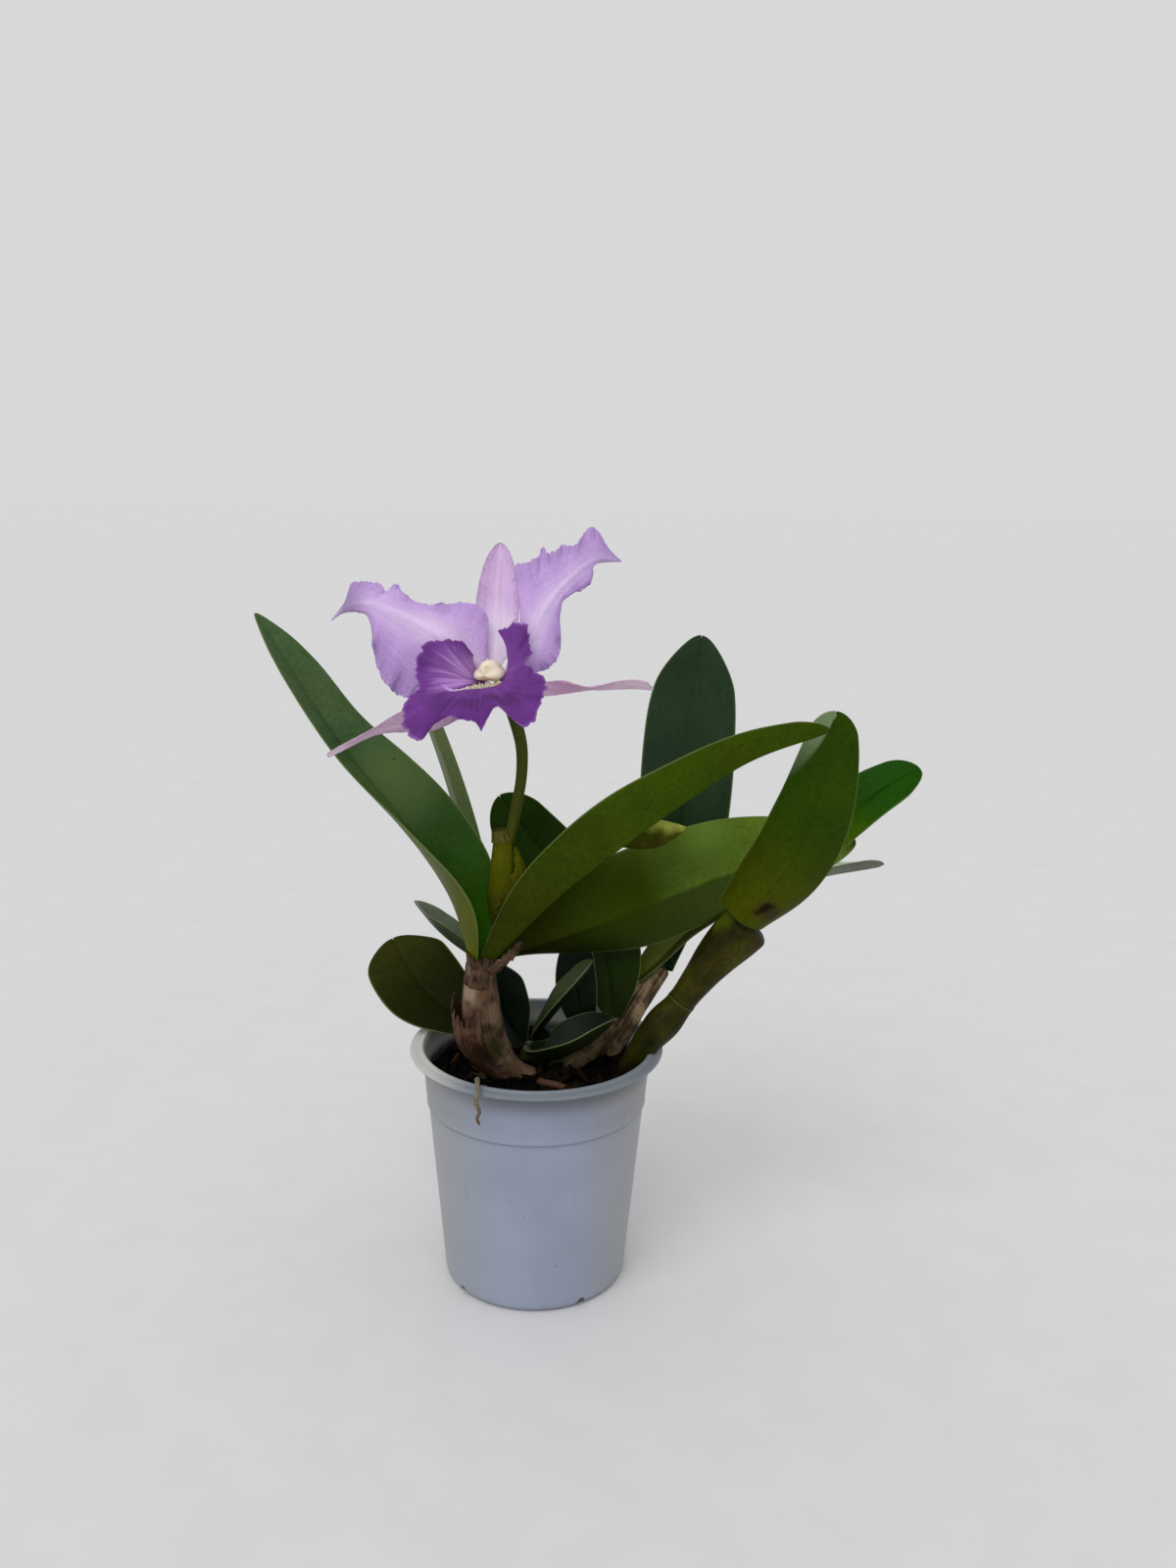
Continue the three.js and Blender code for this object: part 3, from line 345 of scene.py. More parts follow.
# The lip's ribs run from its claw under the column over the throat, and end at its margin.
# They go round from the top of the left side lobe, under the column, to the right one.
LIP_RIBS = [
    [(-5, 0, 2), (-8.5, 4, 7), (-9, 8, 9)],
    [(-5, -1, 2), (-10, 2, 8), (-15, 9, 11)],
    [(-4.8, -2, 2), (-11, 0, 9), (-20, 7, 13)],
    [(-4.5, -3, 2), (-11, -2, 10), (-21, 1, 15)],
    [(-4, -3.5, 2), (-11, -4, 12), (-22, -6, 18)],
    [(-3.5, -4, 2), (-10, -5, 13), (-23, -11, 22)],
    [(-3, -4.5, 2), (-9, -5.5, 14), (-19, -13, 24)],
    [(-2, -5, 2), (-7, -6, 15), (-13, -12, 25)],
    [(-1, -5, 2), (-5, -6, 15), (-7, -13, 25)],
    [(0, -5, 2), (-2.5, -5.5, 15), (-1, -10, 24)],
    [(1, -5, 2), (0, -5, 14), (5, -11, 22)],
    [(2, -4.5, 2), (2, -4, 13), (10, -8, 19)],
    [(3.5, -4, 2), (3, -3, 11), (12, -3, 16)],
    [(4.2, -3, 2), (4, -1, 9), (10, 1, 13)],
    [(4.8, -2, 2), (5, 1, 8), (9, 6, 10)],
    [(5, -1, 2), (5.5, 3, 7), (7, 11, 8)],
    [(5, 0, 2), (5.5, 4, 6), (4.5, 12, 7)],
]
LIP_MARGIN = [
    (-8.7, 7.2, 9), (-11.5, 11.4, 9.5), (-16.5, 14.5, 10), (-22.2, 14.3, 11), (-27.1, 12.6, 12),
    (-30.3, 8.5, 13), (-32.2, 2.3, 14), (-31, -3.9, 15.5), (-30.1, -7.3, 17), (-35, -10.7, 18.5),
    (-36.4, -17.1, 20), (-35.2, -23.5, 21), (-29.3, -28.3, 22), (-25.8, -23, 23.2),
    (-19.2, -18, 24.5), (-12.6, -19.3, 24.5), (-6.5, -19.9, 24.5), (-3.4, -21.8, 24.5),
    (1.1, -14, 24.5),
    (6.3, -16.5, 23.5), (12.6, -20.9, 22), (17.7, -17.4, 20), (20.2, -10.5, 18),
    (22, -5.4, 16.5), (20.6, -0.2, 15), (15.5, 2.6, 13.5), (12.6, 5.1, 12), (15.4, 9.4, 10.5),
    (14.2, 14.7, 9), (13.5, 19.4, 8), (9.1, 21.7, 7), (4.5, 20.5, 6.5), (1, 18.6, 6),
]
LIP_MIDDLE = (-4, -6, 14)
LIP_WAVES = 9
LIP_FRILL = 1.3             # height of its waves
LIP_CRIMP = 0.55            # height of the finer waves at its very margin
LIP_TEETH = 0.026           # depth of its teeth, as a share of the way from the lip's middle
COLUMN_HOLLOW = (-3.6, -0.5, 18)     # a darker brownish spot in the hollow under the column's end, partly its own colour, partly painted shade
COLUMN = dict(path=[(0.5, -0.5, -3.4), (-0.3, 1.0, 3), (-1.6, 1.4, 8), (-3, 0.8, 12),
                    (-4, -0.6, 15.5)],
              radii=[3, 4.4, 5.4, 5.9, 5.4, 2.4], flat=0.72)

# ---------------------------------------------------------------- the stage

CAMERA_LENS = 31.5
CAMERA_TILT = 77.6          # degrees up from looking straight down
CAMERA_ROLL = 0.9           # degrees
CAMERA_PLACE = (0.0225, -0.613, 0.377)      # this and the next three are in metres
KEY_PLACE = (-0.6, -1.5, 2.0)
FLOOR_SIZE = 40
FLOOR_DROP = 0.0005         # keeps the floor clear of the pot's foot
KEY_SPREAD = 40             # degrees across the main light


# ---------------------------------------------------------------- curves

def unit(vectors):
    return vectors / np.linalg.norm(vectors, axis=-1, keepdims=True)


def shares(count, t):
    """How much each of count evenly spaced knots weighs at t on a smooth run through them."""
    last = count - 1
    place = np.clip(t, 0, 1) * last
    i = np.minimum(place.astype(int), last - 1)
    f = place - i
    row = np.arange(len(f))
    weights = np.zeros((len(f), count + 2))
    weights[row, i] = -0.5 * f ** 3 + f ** 2 - 0.5 * f
    weights[row, i + 1] = 1.5 * f ** 3 - 2.5 * f ** 2 + 1
    weights[row, i + 2] = -1.5 * f ** 3 + 2 * f ** 2 + 0.5 * f
    weights[row, i + 3] = 0.5 * f ** 3 - 0.5 * f ** 2
    knots = weights[:, 1:-1].copy()
    knots[:, 0] += 2 * weights[:, 0]
    knots[:, 1] -= weights[:, 0]
    knots[:, -1] += 2 * weights[:, -1]
    knots[:, -2] -= weights[:, -1]
    return knots


def along(values, t):
    """The values at each t (0 to 1) of a smooth run through evenly spaced ones."""
    return shares(len(values), t) @ np.asarray(values, float)


class Spine:
    """A smooth curve through points, followed by its own length."""

    def __init__(self, path):
        self.path = path
        self.knots = np.linspace(0, 1, 201)
        steps = np.diff(along(path, self.knots), axis=0)
        self.run = np.concatenate([[0], np.cumsum(np.linalg.norm(steps, axis=1))])
        self.length = self.run[-1]

    def at(self, u):
        """Place and direction at each share u of its length."""
        t = np.interp(u * self.length, self.run, self.knots)
        step = 1e-3
        ahead = along(self.path, np.minimum(t + step, 1))
        behind = along(self.path, np.maximum(t - step, 0))
        return along(self.path, t), unit(ahead - behind)


class Limb:
    """A round limb along a path, flattened by flat and turned about its own length."""

    def __init__(self, path, radii, flat=1, turn=0):
        self.spine = Spine(path)
        self.radii = radii
        self.flat = flat
        self.knots = np.linspace(0, 1, 65)
        _, tangents = self.spine.at(self.knots)
        first = tangents[0]
        least = np.eye(3)[2 - np.argmin(np.abs(first)[::-1])]   # the axis it follows least
        normal = Vector(np.cross(first, unit(np.cross(first, least))))
        normals = [normal]
        for before, after in zip(tangents, tangents[1:]):
            normal = Vector(before).rotation_difference(Vector(after)) @ normal
            normals.append(normal)
        normals = np.array(normals)
        binormals = np.cross(tangents, normals)
        roll = math.radians(turn)
        self.normals = normals * math.cos(roll) + binormals * math.sin(roll)

    def frame_at(self, t):
        point, tangent = self.spine.at(t)
        normal = np.stack([np.interp(t, self.knots, self.normals[:, k]) for k in range(3)], 1)
        normal = unit(normal - tangent * (normal * tangent).sum(1, keepdims=True))
        return point, normal, np.cross(tangent, normal)

    def skin(self, t, angle, lift, share=1):
        """Places at t along it and at an angle round it, lifted off share of its radius."""
        point, normal, binormal = self.frame_at(t)
        radius = along(self.radii, t) * share
        out = (radius + lift) * np.cos(angle)
        over = (radius * self.flat + lift) * np.sin(angle)
        return point + out[:, None] * normal + over[:, None] * binormal

    def angle_towards(self, direction, t):
        """The angle round it, at t, that looks in a direction."""
        _, normal, binormal = self.frame_at(np.array([t]))
        return math.atan2(float(binormal[0] @ direction), float(normal[0] @ direction))


def flower_to_plant(points):
    """Turns places in the flower's own frame into places in the plant's."""
    lean = math.radians(90 - FLOWER_TILT)
    x, y, z = points[:, 0], points[:, 1], points[:, 2]
    turned = np.stack([x, y * math.cos(lean) - z * math.sin(lean),
                       y * math.sin(lean) + z * math.cos(lean)], 1)
    return turned + FLOWER_PLACE


def ragged(t, seed, waves=(3, 7, 13, 23)):
    """An uneven run between about -1 and 1, such as a torn edge."""
    draw = np.random.default_rng(seed)
    phases = draw.uniform(0, 2 * math.pi, len(waves))
    sizes = 1 / np.sqrt(np.array(waves))
    run = sum(size * np.sin(wave * t + phase) for size, wave, phase in zip(sizes, waves, phases))
    return run / sizes.sum() * 1.6


# ---------------------------------------------------------------- modelling

def deselect():
    if bpy.context.mode != "OBJECT":
        bpy.ops.object.mode_set(mode="OBJECT")
    bpy.ops.object.select_all(action="DESELECT")


def select(*pieces):
    """Selects pieces alone, with the first one active."""
    deselect()
    for piece in pieces:
        piece.select_set(True)
    bpy.context.view_layer.objects.active = pieces[0]


def named(name):
    piece = bpy.context.active_object
    piece.name = name
    piece.data.name = name
    return piece


def corners(piece):
    places = np.empty(3 * len(piece.data.vertices))
    piece.data.vertices.foreach_get("co", places)
    return places.reshape(-1, 3)


def move_corners(piece, places):
    piece.data.vertices.foreach_set("co", np.ascontiguousarray(places, float).ravel())
    piece.data.update()


def apply_modifier(kind, **settings):
    bpy.ops.object.modifier_add(type=kind)
    modifier = bpy.context.active_object.modifiers[-1]
    for name, value in settings.items():
        setattr(modifier, name, value)
    bpy.ops.object.modifier_apply(modifier=modifier.name)


def smooth(degrees):
    bpy.ops.object.shade_smooth_by_angle(angle=math.radians(degrees))


def write_attribute(piece, name, values):
    attribute = piece.data.attributes.new(name, "FLOAT", "POINT")
    attribute.data.foreach_set("value", np.asarray(values, np.float32))


def blade(name, surface, rows, columns, thickness, margin):
    """A thin piece on surface(u, v), u from 0 to 1 and v from -1 to 1, in millimetres.

    Its thickness falls to the share margin at its side edges and its far end.
    """
    deselect()
    bpy.ops.mesh.primitive_grid_add(x_subdivisions=columns, y_subdivisions=rows, size=1)
    piece = named(name)
    grid = corners(piece)
    u, v = grid[:, 1] + 0.5, 2 * grid[:, 0]
    move_corners(piece, surface(u, v) * MM)
    normals = np.array([normal.vector for normal in piece.data.vertex_normals])
    full = piece.vertex_groups.new(name="full")
    weights = (1 - np.abs(v) ** 4) * (1 - u ** 12)
    for k, weight in enumerate(weights):
        full.add([k], float(weight), "REPLACE")
    apply_modifier("SOLIDIFY", thickness=thickness * MM, offset=0, vertex_group="full",
                   thickness_vertex_group=margin, use_even_offset=False)
    piece.vertex_groups.clear()
    places = corners(piece)
    count = len(u)
    first_is_up = ((places[:count] - places[count:]) * normals).sum() > 0
    upper = np.zeros(2 * count)
    upper[slice(0, count) if first_is_up else slice(count, None)] = 1
    write_attribute(piece, "upper", upper)
    smooth(60)
    return piece


def stalk(name, limb, segments, rings, relief, cap=0.04):
    """A closed round piece on a limb.

    relief(t, angle) lifts its skin, in millimetres, and cap is the share of its length in which
    each end rounds off.
    """
    deselect()
    bpy.ops.mesh.primitive_uv_sphere_add(segments=segments, ring_count=rings, radius=1)
    piece = named(name)
    ball = unit(corners(piece))
    t = np.arccos(np.clip(-ball[:, 2], -1, 1)) / math.pi
    angle = np.arctan2(ball[:, 1], ball[:, 0])
    near_end = np.clip(np.minimum(t, 1 - t) / cap, 0, 1)
    share = np.sqrt(1 - (1 - near_end) ** 2)
    move_corners(piece, limb.skin(t, angle, relief(t, angle) * share, share) * MM)
    smooth(60)
    return piece


def finish_piece(piece, slot, finish, *replaces):
    """Gives a piece its finish and ties it to the plant."""
    piece.data.materials.append(finish)
    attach(piece, BODY)
    if replaces:
        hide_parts(*replaces)


# ---------------------------------------------------------------- finishes

PATCH_WAVES = 0.8           # waves of a patch's edge over its radius
PATCH_STRAY = 1.2           # how far its edge strays, as a share of its radius
PATCH_CORE = 0.15           # the share of its radius where it is full


class Shader:
    """The node tree of one finish, whose colours are laid one over another on its base."""

    def __init__(self, name, **surface):
        self.material = bpy.data.materials.new(name)
        self.material.use_nodes = True
        tree = self.material.node_tree
        self.nodes = tree.nodes
        self.links = tree.links
        self.surface = self.nodes["Principled BSDF"]
        for socket, value in surface.items():
            self.feed(self.surface.inputs[socket.replace("_", " ")], value)
        self.source = self.nodes.new("ShaderNodeTexCoord")
        self.here = self.place()
        self.base = None

    def feed(self, socket, value):
        if isinstance(value, bpy.types.NodeSocket):
            self.links.new(value, socket)
        elif socket.type == "RGBA":
            socket.default_value = (*paint(value), 1)
        else:
            socket.default_value = value

    def node(self, kind, inputs, **settings):
        node = self.nodes.new(kind)
        for name, value in settings.items():
            setattr(node, name, value)
        for socket, value in inputs.items():
            self.feed(node.inputs[socket], value)
        return node

    def place(self, source="Object", scale=(1, 1, 1)):
        """Coordinates: Object in metres, or UV as across, along and 0."""
        inputs = {"Vector": self.source.outputs[source], "Scale": scale}
        return self.node("ShaderNodeMapping", inputs).outputs[0]

    def split(self, source):
        """The three coordinates, one by one."""
        return self.node("ShaderNodeSeparateXYZ", {0: self.place(source)}).outputs

    def attribute(self, name):
        return self.node("ShaderNodeAttribute", {}, attribute_name=name).outputs["Fac"]

    def noise(self, scale, detail=3, warp=0, roughness=0.5, place=None):
        inputs = {"Vector": self.here if place is None else place, "Scale": scale,
                  "Detail": detail, "Distortion": warp, "Roughness": roughness}
        return self.node("ShaderNodeTexNoise", inputs).outputs[0]

    def fibres(self, across, lengthways, detail=3, warp=0, roughness=0.5):
        """Noise with so many waves across the piece and along it."""
        stretched = self.place("UV", (across, lengthways, 1))
        return self.noise(1, detail, warp, roughness, stretched)

    def specks(self, scale, low, high):
        """Round dots, each 1 inside low and 0 outside high."""
        inputs = {"Vector": self.here, "Scale": scale}
        gap = self.node("ShaderNodeTexVoronoi", inputs).outputs["Distance"]
        return self.band(gap, low, high, 1, 0)

    def maths(self, operation, *values):
        inputs = dict(enumerate(values))
        return self.node("ShaderNodeMath", inputs, operation=operation).outputs[0]

    def times(self, first, second):
        return self.maths("MULTIPLY", first, second)

    def away(self, value, centre):
        """How far value is from centre, either way."""
        return self.maths("ABSOLUTE", self.maths("SUBTRACT", value, centre))

    def band(self, value, low, high, start=0, end=1):
        """start below low, end above high, and a smooth step between."""
        inputs = {"Value": value, "From Min": low, "From Max": high, "To Min": start,
                  "To Max": end}
        return self.node("ShaderNodeMapRange", inputs,
                         interpolation_type="SMOOTHSTEP").outputs[0]

    def window(self, value, opens, opened, closes, closed):
        """1 from opened to closes, and 0 before opens and after closed."""
        return self.times(self.band(value, opens, opened), self.band(value, closes, closed, 1, 0))

    def from_midrib(self, across):
        """0 on the midrib and 1 at either margin."""
        return self.maths("ABSOLUTE", self.maths("MULTIPLY_ADD", across, 2, -1))

    def tint(self, factor, below, above, blend="MIX"):
        inputs = {0: factor, 6: below, 7: above}
        return self.node("ShaderNodeMix", inputs, data_type="RGBA",
                         blend_type=blend).outputs[2]

    def coat(self, factor, colour):
        """Lays a colour over the base, as far as factor says."""
        self.base = self.tint(factor, self.base, colour)

    def shade(self, factor, colour):
        """Multiplies the base by a colour, as far as factor says."""
        self.base = self.tint(factor, self.base, colour, "MULTIPLY")

    def near(self, centre, radius):
        """1 at a place on the piece, in millimetres, falling unevenly to 0 at radius from it."""
        here = self.source.outputs["Object"]
        inputs = {"Vector": here, "Scale": PATCH_WAVES / (radius * MM), "Detail": 4}
        stray = self.node("ShaderNodeTexNoise", inputs).outputs["Color"]
        inputs = {0: stray, 1: [PATCH_STRAY * radius * MM] * 3,
                  2: [(c - PATCH_STRAY / 2 * radius) * MM for c in centre]}
        middle = self.node("ShaderNodeVectorMath", inputs, operation="MULTIPLY_ADD").outputs[0]
        gap = self.node("ShaderNodeVectorMath", {0: here, 1: middle},
                        operation="DISTANCE").outputs["Value"]
        return self.band(gap, PATCH_CORE * radius * MM, radius * MM, 1, 0)

    def patch(self, patches):
        """Lays on patches, each of them a place, a radius and a colour."""
        for centre, radius, colour in patches:
            self.coat(self.near(centre, radius), colour)

    def done(self, *bumps, roughness=None):
        """The finished material. A bump is a height and its depth, the finest one first."""
        self.feed(self.surface.inputs["Base Color"], self.base)
        if roughness is not None:
            self.feed(self.surface.inputs["Roughness"], roughness)
        normal = None
        for height, depth in bumps:
            inputs = {"Height": height, "Distance": depth * MM, "Strength": 1}
            bump = self.node("ShaderNodeBump", inputs)
            if normal is not None:
                self.feed(bump.inputs["Normal"], normal)
            normal = bump.outputs[0]
        if normal is not None:
            self.feed(self.surface.inputs["Normal"], normal)
        return self.material


def plastic_finish(colour, dirt, height):
    """Thin pale plastic with faint smudges and specks of dried mud, painted shading that greys
    its sides and darkens it at its step, above it and under the rim, a painted highlight on the
    rim's left, and a grimy inside with painted shade near the medium and painted light above it.
    """
    s = Shader("nursery_plastic", IOR=1.49, Specular_IOR_Level=0.35)
    x, _, z = s.split("Object")

    def climb(low, high, start=0, end=1):
        return s.band(z, low * MM, high * MM, start, end)

    def rightwards(low, high, start=0):
        return s.band(x, low * MM, high * MM, start)

    s.base = s.tint(s.band(s.noise(28, 4), 0.35, 0.7), colour, paint(colour, 0.9))
    # painted shading: the curved wall turns greyer towards its left and right sides
    s.coat(s.band(s.maths("ABSOLUTE", x), 12 * MM, 50 * MM), "#999b9d")
    # painted shade: a thin dark line under the step
    under_step = s.away(z, (POT_STEP_HEIGHT - 0.4) * MM)
    s.coat(s.band(under_step, 0.3 * MM, 0.8 * MM, 0.28, 0), "#5c6168")
    smudge = s.noise(90, 5, roughness=0.65, place=s.place(scale=(1, 1, 0.3)))
    smudge = s.times(s.band(smudge, 0.6, 0.74, 0, 0.5), dirt)
    s.coat(smudge, "#77746f")
    mud = s.times(s.specks(160, 0.06, 0.1), s.band(s.noise(35, 2), 0.52, 0.62))
    s.coat(s.times(mud, dirt), "#4a4038")
    # the inside of the wall: dark and dirty with painted shade just above the medium, and near
    # white higher up, a painted light on its inner face
    grime_and_shading = s.tint(s.band(s.noise(160, 5), 0.35, 0.65), "#23281f", "#5a615e")
    grime_and_shading = s.tint(climb(MEDIUM_LEVEL - 1, MEDIUM_LEVEL + 5, 0, 0.95), grime_and_shading, "#eceee8")
    # painted shade: the wall darkens above its step, towards the rim
    s.shade(climb(POT_STEP_HEIGHT - 8, POT_STEP_HEIGHT + 8), (0.88, 0.88, 0.88))
    # painted shadow under the rim, fainter on the left where the light comes from
    s.shade(s.times(climb(height - 16, height - 5.5), rightwards(-50, -10, 0.1)),
            (0.6, 0.58, 0.54))
    # the rolled rim: a painted highlight on its far left, and painted shade in darker grey
    # elsewhere
    rim_highlight_and_shade = s.tint(rightwards(-52, -25), "#c6c6c0", "#7e868e")
    s.coat(climb(height - POT_RIM_DEPTH, height - POT_RIM_DEPTH + 1, 0, 0.9), rim_highlight_and_shade)
    s.coat(s.attribute("inside"), grime_and_shading)
    return s.done((s.noise(900, 2), 0.03), roughness=s.band(smudge, 0, 0.6, 0.4, 0.6))


def bark_finish(colour):
    """Damp bark and fine dark compost.

    Its tone makes a piece darker towards 1, mossy from 1.2 and rusty from 1.5.
    """
    s = Shader("bark", IOR=1.4, Specular_IOR_Level=0.06)
    tone = s.attribute("tone")
    lump = s.noise(260, 6, roughness=0.7)
    s.base = s.tint(s.band(lump, 0.35, 0.7), paint(colour, 0.2), colour)
    s.coat(s.band(tone, 0.55, 0.95, 0, 0.8), "#1f150c")
    s.coat(s.band(tone, 1.2, 1.25), "#22261b")
    s.coat(s.band(tone, 1.5, 1.55), "#3c2816")
    fibre = s.noise(1500, 3, place=s.place(scale=(1, 0.15, 1)))
    return s.done((lump, 0.5), (fibre, 0.12), roughness=s.band(lump, 0.3, 0.7, 0.95, 0.7))


def husk_finish(name, light, dark, *patches, streak=0.45):
    """Dry papery sheath: blotched, with fibres along the bulb.

    streak is how much of the mottling runs along the bulb.
    """
    s = Shader(name, IOR=1.4, Specular_IOR_Level=0.2)
    fibre = s.fibres(30, 1.6, 5, 0.4, 0.6)
    hair = s.fibres(130, 3)
    cloud = s.noise(95, 5, 0.5, 0.6)
    blotch = s.noise(230, 5, 0.8, 0.65)
    tone = s.maths("ADD", s.times(fibre, streak), s.times(cloud, 1 - streak))
    s.base = s.tint(s.band(tone, 0.41, 0.59), dark, light)
    s.coat(s.band(blotch, 0.52, 0.66, 0, 0.7), paint(dark, 0.5))
    s.coat(s.band(hair, 0.56, 0.7, 0, 0.4), paint(light, 1.3))
    for centre, radius, colour in patches:
        s.coat(s.band(s.near(centre, radius), 0, 1, 0, 0.85), colour)
    return s.done((blotch, 0.12), (fibre, 0.25), (hair, 0.08),
                  roughness=s.band(fibre, 0.3, 0.7, 0.85, 0.62))


def green_bulb_finish(name, colour, dark, scar, *patches):
    """Smooth olive bulb with brown freckles, and a thin tan line where a sheath sat."""
    s = Shader(name, IOR=1.42, Specular_IOR_Level=0.1)
    _, up_bulb, _ = s.split("UV")
    cloud = s.noise(60, 4)
    freckle = s.noise(420, 5, roughness=0.75)
    rib = s.fibres(30, 1.5)
    s.base = s.tint(s.band(cloud, 0.35, 0.68), dark, colour)
    s.coat(s.band(freckle, 0.46, 0.6, 0, 0.85), "#33240c")
    s.coat(s.band(rib, 0.5, 0.7, 0, 0.25), paint(colour, 1.5))
    s.shade(s.band(up_bulb, 0.2, 0.5, 1, 0), (0.6, 0.68, 0.5))
    s.patch(patches)
    scar_gap = s.maths("ADD", up_bulb, s.maths("MULTIPLY_ADD", cloud, 0.012, -0.006 - scar))
    s.coat(s.band(s.away(scar_gap, 0.006), 0.003, 0.008, 0.7, 0), "#1c1806")
    s.coat(s.band(s.maths("ABSOLUTE", scar_gap), 0.002, 0.004, 0.8, 0), "#57522a")
    return s.done((freckle, 0.06), (rib, 0.25), roughness=s.band(freckle, 0.4, 0.7, 0.42, 0.6))


def leaf_finish(name, margin, gloss, upper, under, foot, under_foot=None, foot_reach=0.45,
                shine=0.1, shaded_halves=(1, 1), strip=None, patches=(), **_):
    """A leathery leaf: fine veins along it, a thin pale margin that is partly a painted
    highlight, its own colour on each side.

    foot is its colour near the base, up to the share foot_reach, and a pair of shares says how
    light each half is, a painted shade on one half. strip is a painted sheen, a colour beside the
    second margin, wider towards the tip, and the shares where it starts and is full.
    """
    s = Shader(name, IOR=1.43, Specular_IOR_Level=shine)
    across, up_leaf, _ = s.split("UV")
    reach = s.from_midrib(across)
    vein = s.fibres(60, 1.2)
    cloud = s.noise(42, 5)
    fleck = s.noise(520, 4, roughness=0.75)
    pore = s.noise(1300, 2)
    up_side = s.attribute("upper")
    feet = s.tint(up_side, under_foot or foot, foot)
    s.base = s.tint(up_side, under, upper)
    s.base = s.tint(s.band(up_leaf, 0.03, foot_reach), feet, s.base)
    # painted shade: one half of the leaf darker than the other
    if shaded_halves != (1, 1):
        low, high = ((h, h, h) for h in shaded_halves)
        s.shade(1, s.tint(s.band(across, 0.47, 0.53), low, high))
    s.shade(s.band(cloud, 0.35, 0.7), (0.74, 0.78, 0.7))
    s.shade(s.band(s.noise(24, 4), 0.5, 0.72, 0, 0.6), (1, 0.87, 0.7))
    s.shade(s.band(vein, 0.5, 0.75, 0, 0.6), (0.8, 0.84, 0.8))
    s.shade(s.band(fleck, 0.5, 0.68, 0, 0.8), (0.7, 0.74, 0.66))
    s.shade(s.band(fleck, 0.34, 0.48, 0.8, 0), (1.3, 1.25, 1.1))
    # painted sheen: a greyish strip beside the second margin, wider towards the tip
    if strip:
        sheen_colour, start, full = strip
        beside = s.maths("ADD", across, s.times(cloud, 0.1))
        beside = s.band(s.maths("MULTIPLY_ADD", up_leaf, 1.1, beside), 1.5, 1.58)
        s.coat(s.times(s.band(up_leaf, start, full), beside), sheen_colour)
    s.patch(patches)
    spot = s.times(s.specks(120, 0.05, 0.09), s.band(s.noise(24, 2), 0.56, 0.64))
    s.coat(s.times(spot, 0.7), "#1c170a")
    s.shade(s.band(reach, 0.008, 0.03, 0.5, 0), (0.55, 0.6, 0.5))
    # the thin pale margin: partly the leaf's own pale edge, partly a painted highlight along it
    edge = s.maths("ADD", reach, s.times(s.band(up_leaf, 0.975, 1), 0.02))
    s.coat(s.band(edge, 0.972, 0.996, 0, 0.6), margin)
    return s.done((pore, 0.02), (cloud, 0.6), (vein, 0.07),
                  roughness=s.band(cloud, 0.3, 0.7, 1.15 * gloss, 0.9 * gloss))


def petal_finish(name, colour, pale, vein_colour, flush_and_shade, *patches):
    """Thin velvety tissue, paler along its middle, with fine veins, pale flecks that paint its
    sparkle as glints, and painted shade in its creases, along its lower side and at its tip.

    The number after the vein colour is how far that colour reaches in from the margin, and also
    how strong the painted shade along its lower side and at its tip is.
    """
    s = Shader(name, IOR=1.38, Roughness=0.6, Specular_IOR_Level=0.25, Sheen_Weight=0.08,
               Sheen_Roughness=0.4, Subsurface_Weight=0.15, Subsurface_Scale=0.002,
               Subsurface_Radius=(1, 0.9, 1))
    across, out, _ = s.split("UV")
    reach = s.from_midrib(across)
    vein = s.fibres(60, 3.2, warp=0.5)
    crease = s.fibres(2.2, 46, warp=0.9)
    grain = s.noise(800, 3, roughness=0.75)
    outer = s.band(reach, 0.5, 0.95)
    s.base = s.tint(s.times(s.band(reach, 0, 0.55, 1, 0), s.band(out, 0.1, 0.95, 1, 0.35)),
                    colour, pale)
    s.patch(patches)
    s.coat(s.band(vein, 0.52, 0.72, 0, 0.35), vein_colour)
    s.coat(s.band(s.noise(90, 4), 0.45, 0.75, 0, 0.2), vein_colour)
    s.coat(s.band(reach, 1 - flush_and_shade, 1, 0, 0.4), vein_colour)
    # painted shade along the lower side and at the tip
    painted_petal_shade = s.maths("MAXIMUM", s.band(across, 0, 0.35, flush_and_shade, 0),
                  s.band(out, 0.6, 0.95, 0, 0.7 * flush_and_shade))
    s.shade(painted_petal_shade, (0.62, 0.6, 0.68))
    # dark lines along the creases: painted shade in them
    line = s.times(s.band(crease, 0.56, 0.7), outer)
    s.coat(s.times(line, 0.6), paint(vein_colour, 0.55))
    # pale flecks: painted glints of its sparkle; the dark flecks below are its own grain
    s.coat(s.band(grain, 0.56, 0.72, 0, 0.55), pale)
    s.coat(s.band(grain, 0.3, 0.44, 0.35, 0), vein_colour)
    return s.done((grain, 0.06), (s.times(crease, outer), 0.7), (vein, 0.14))


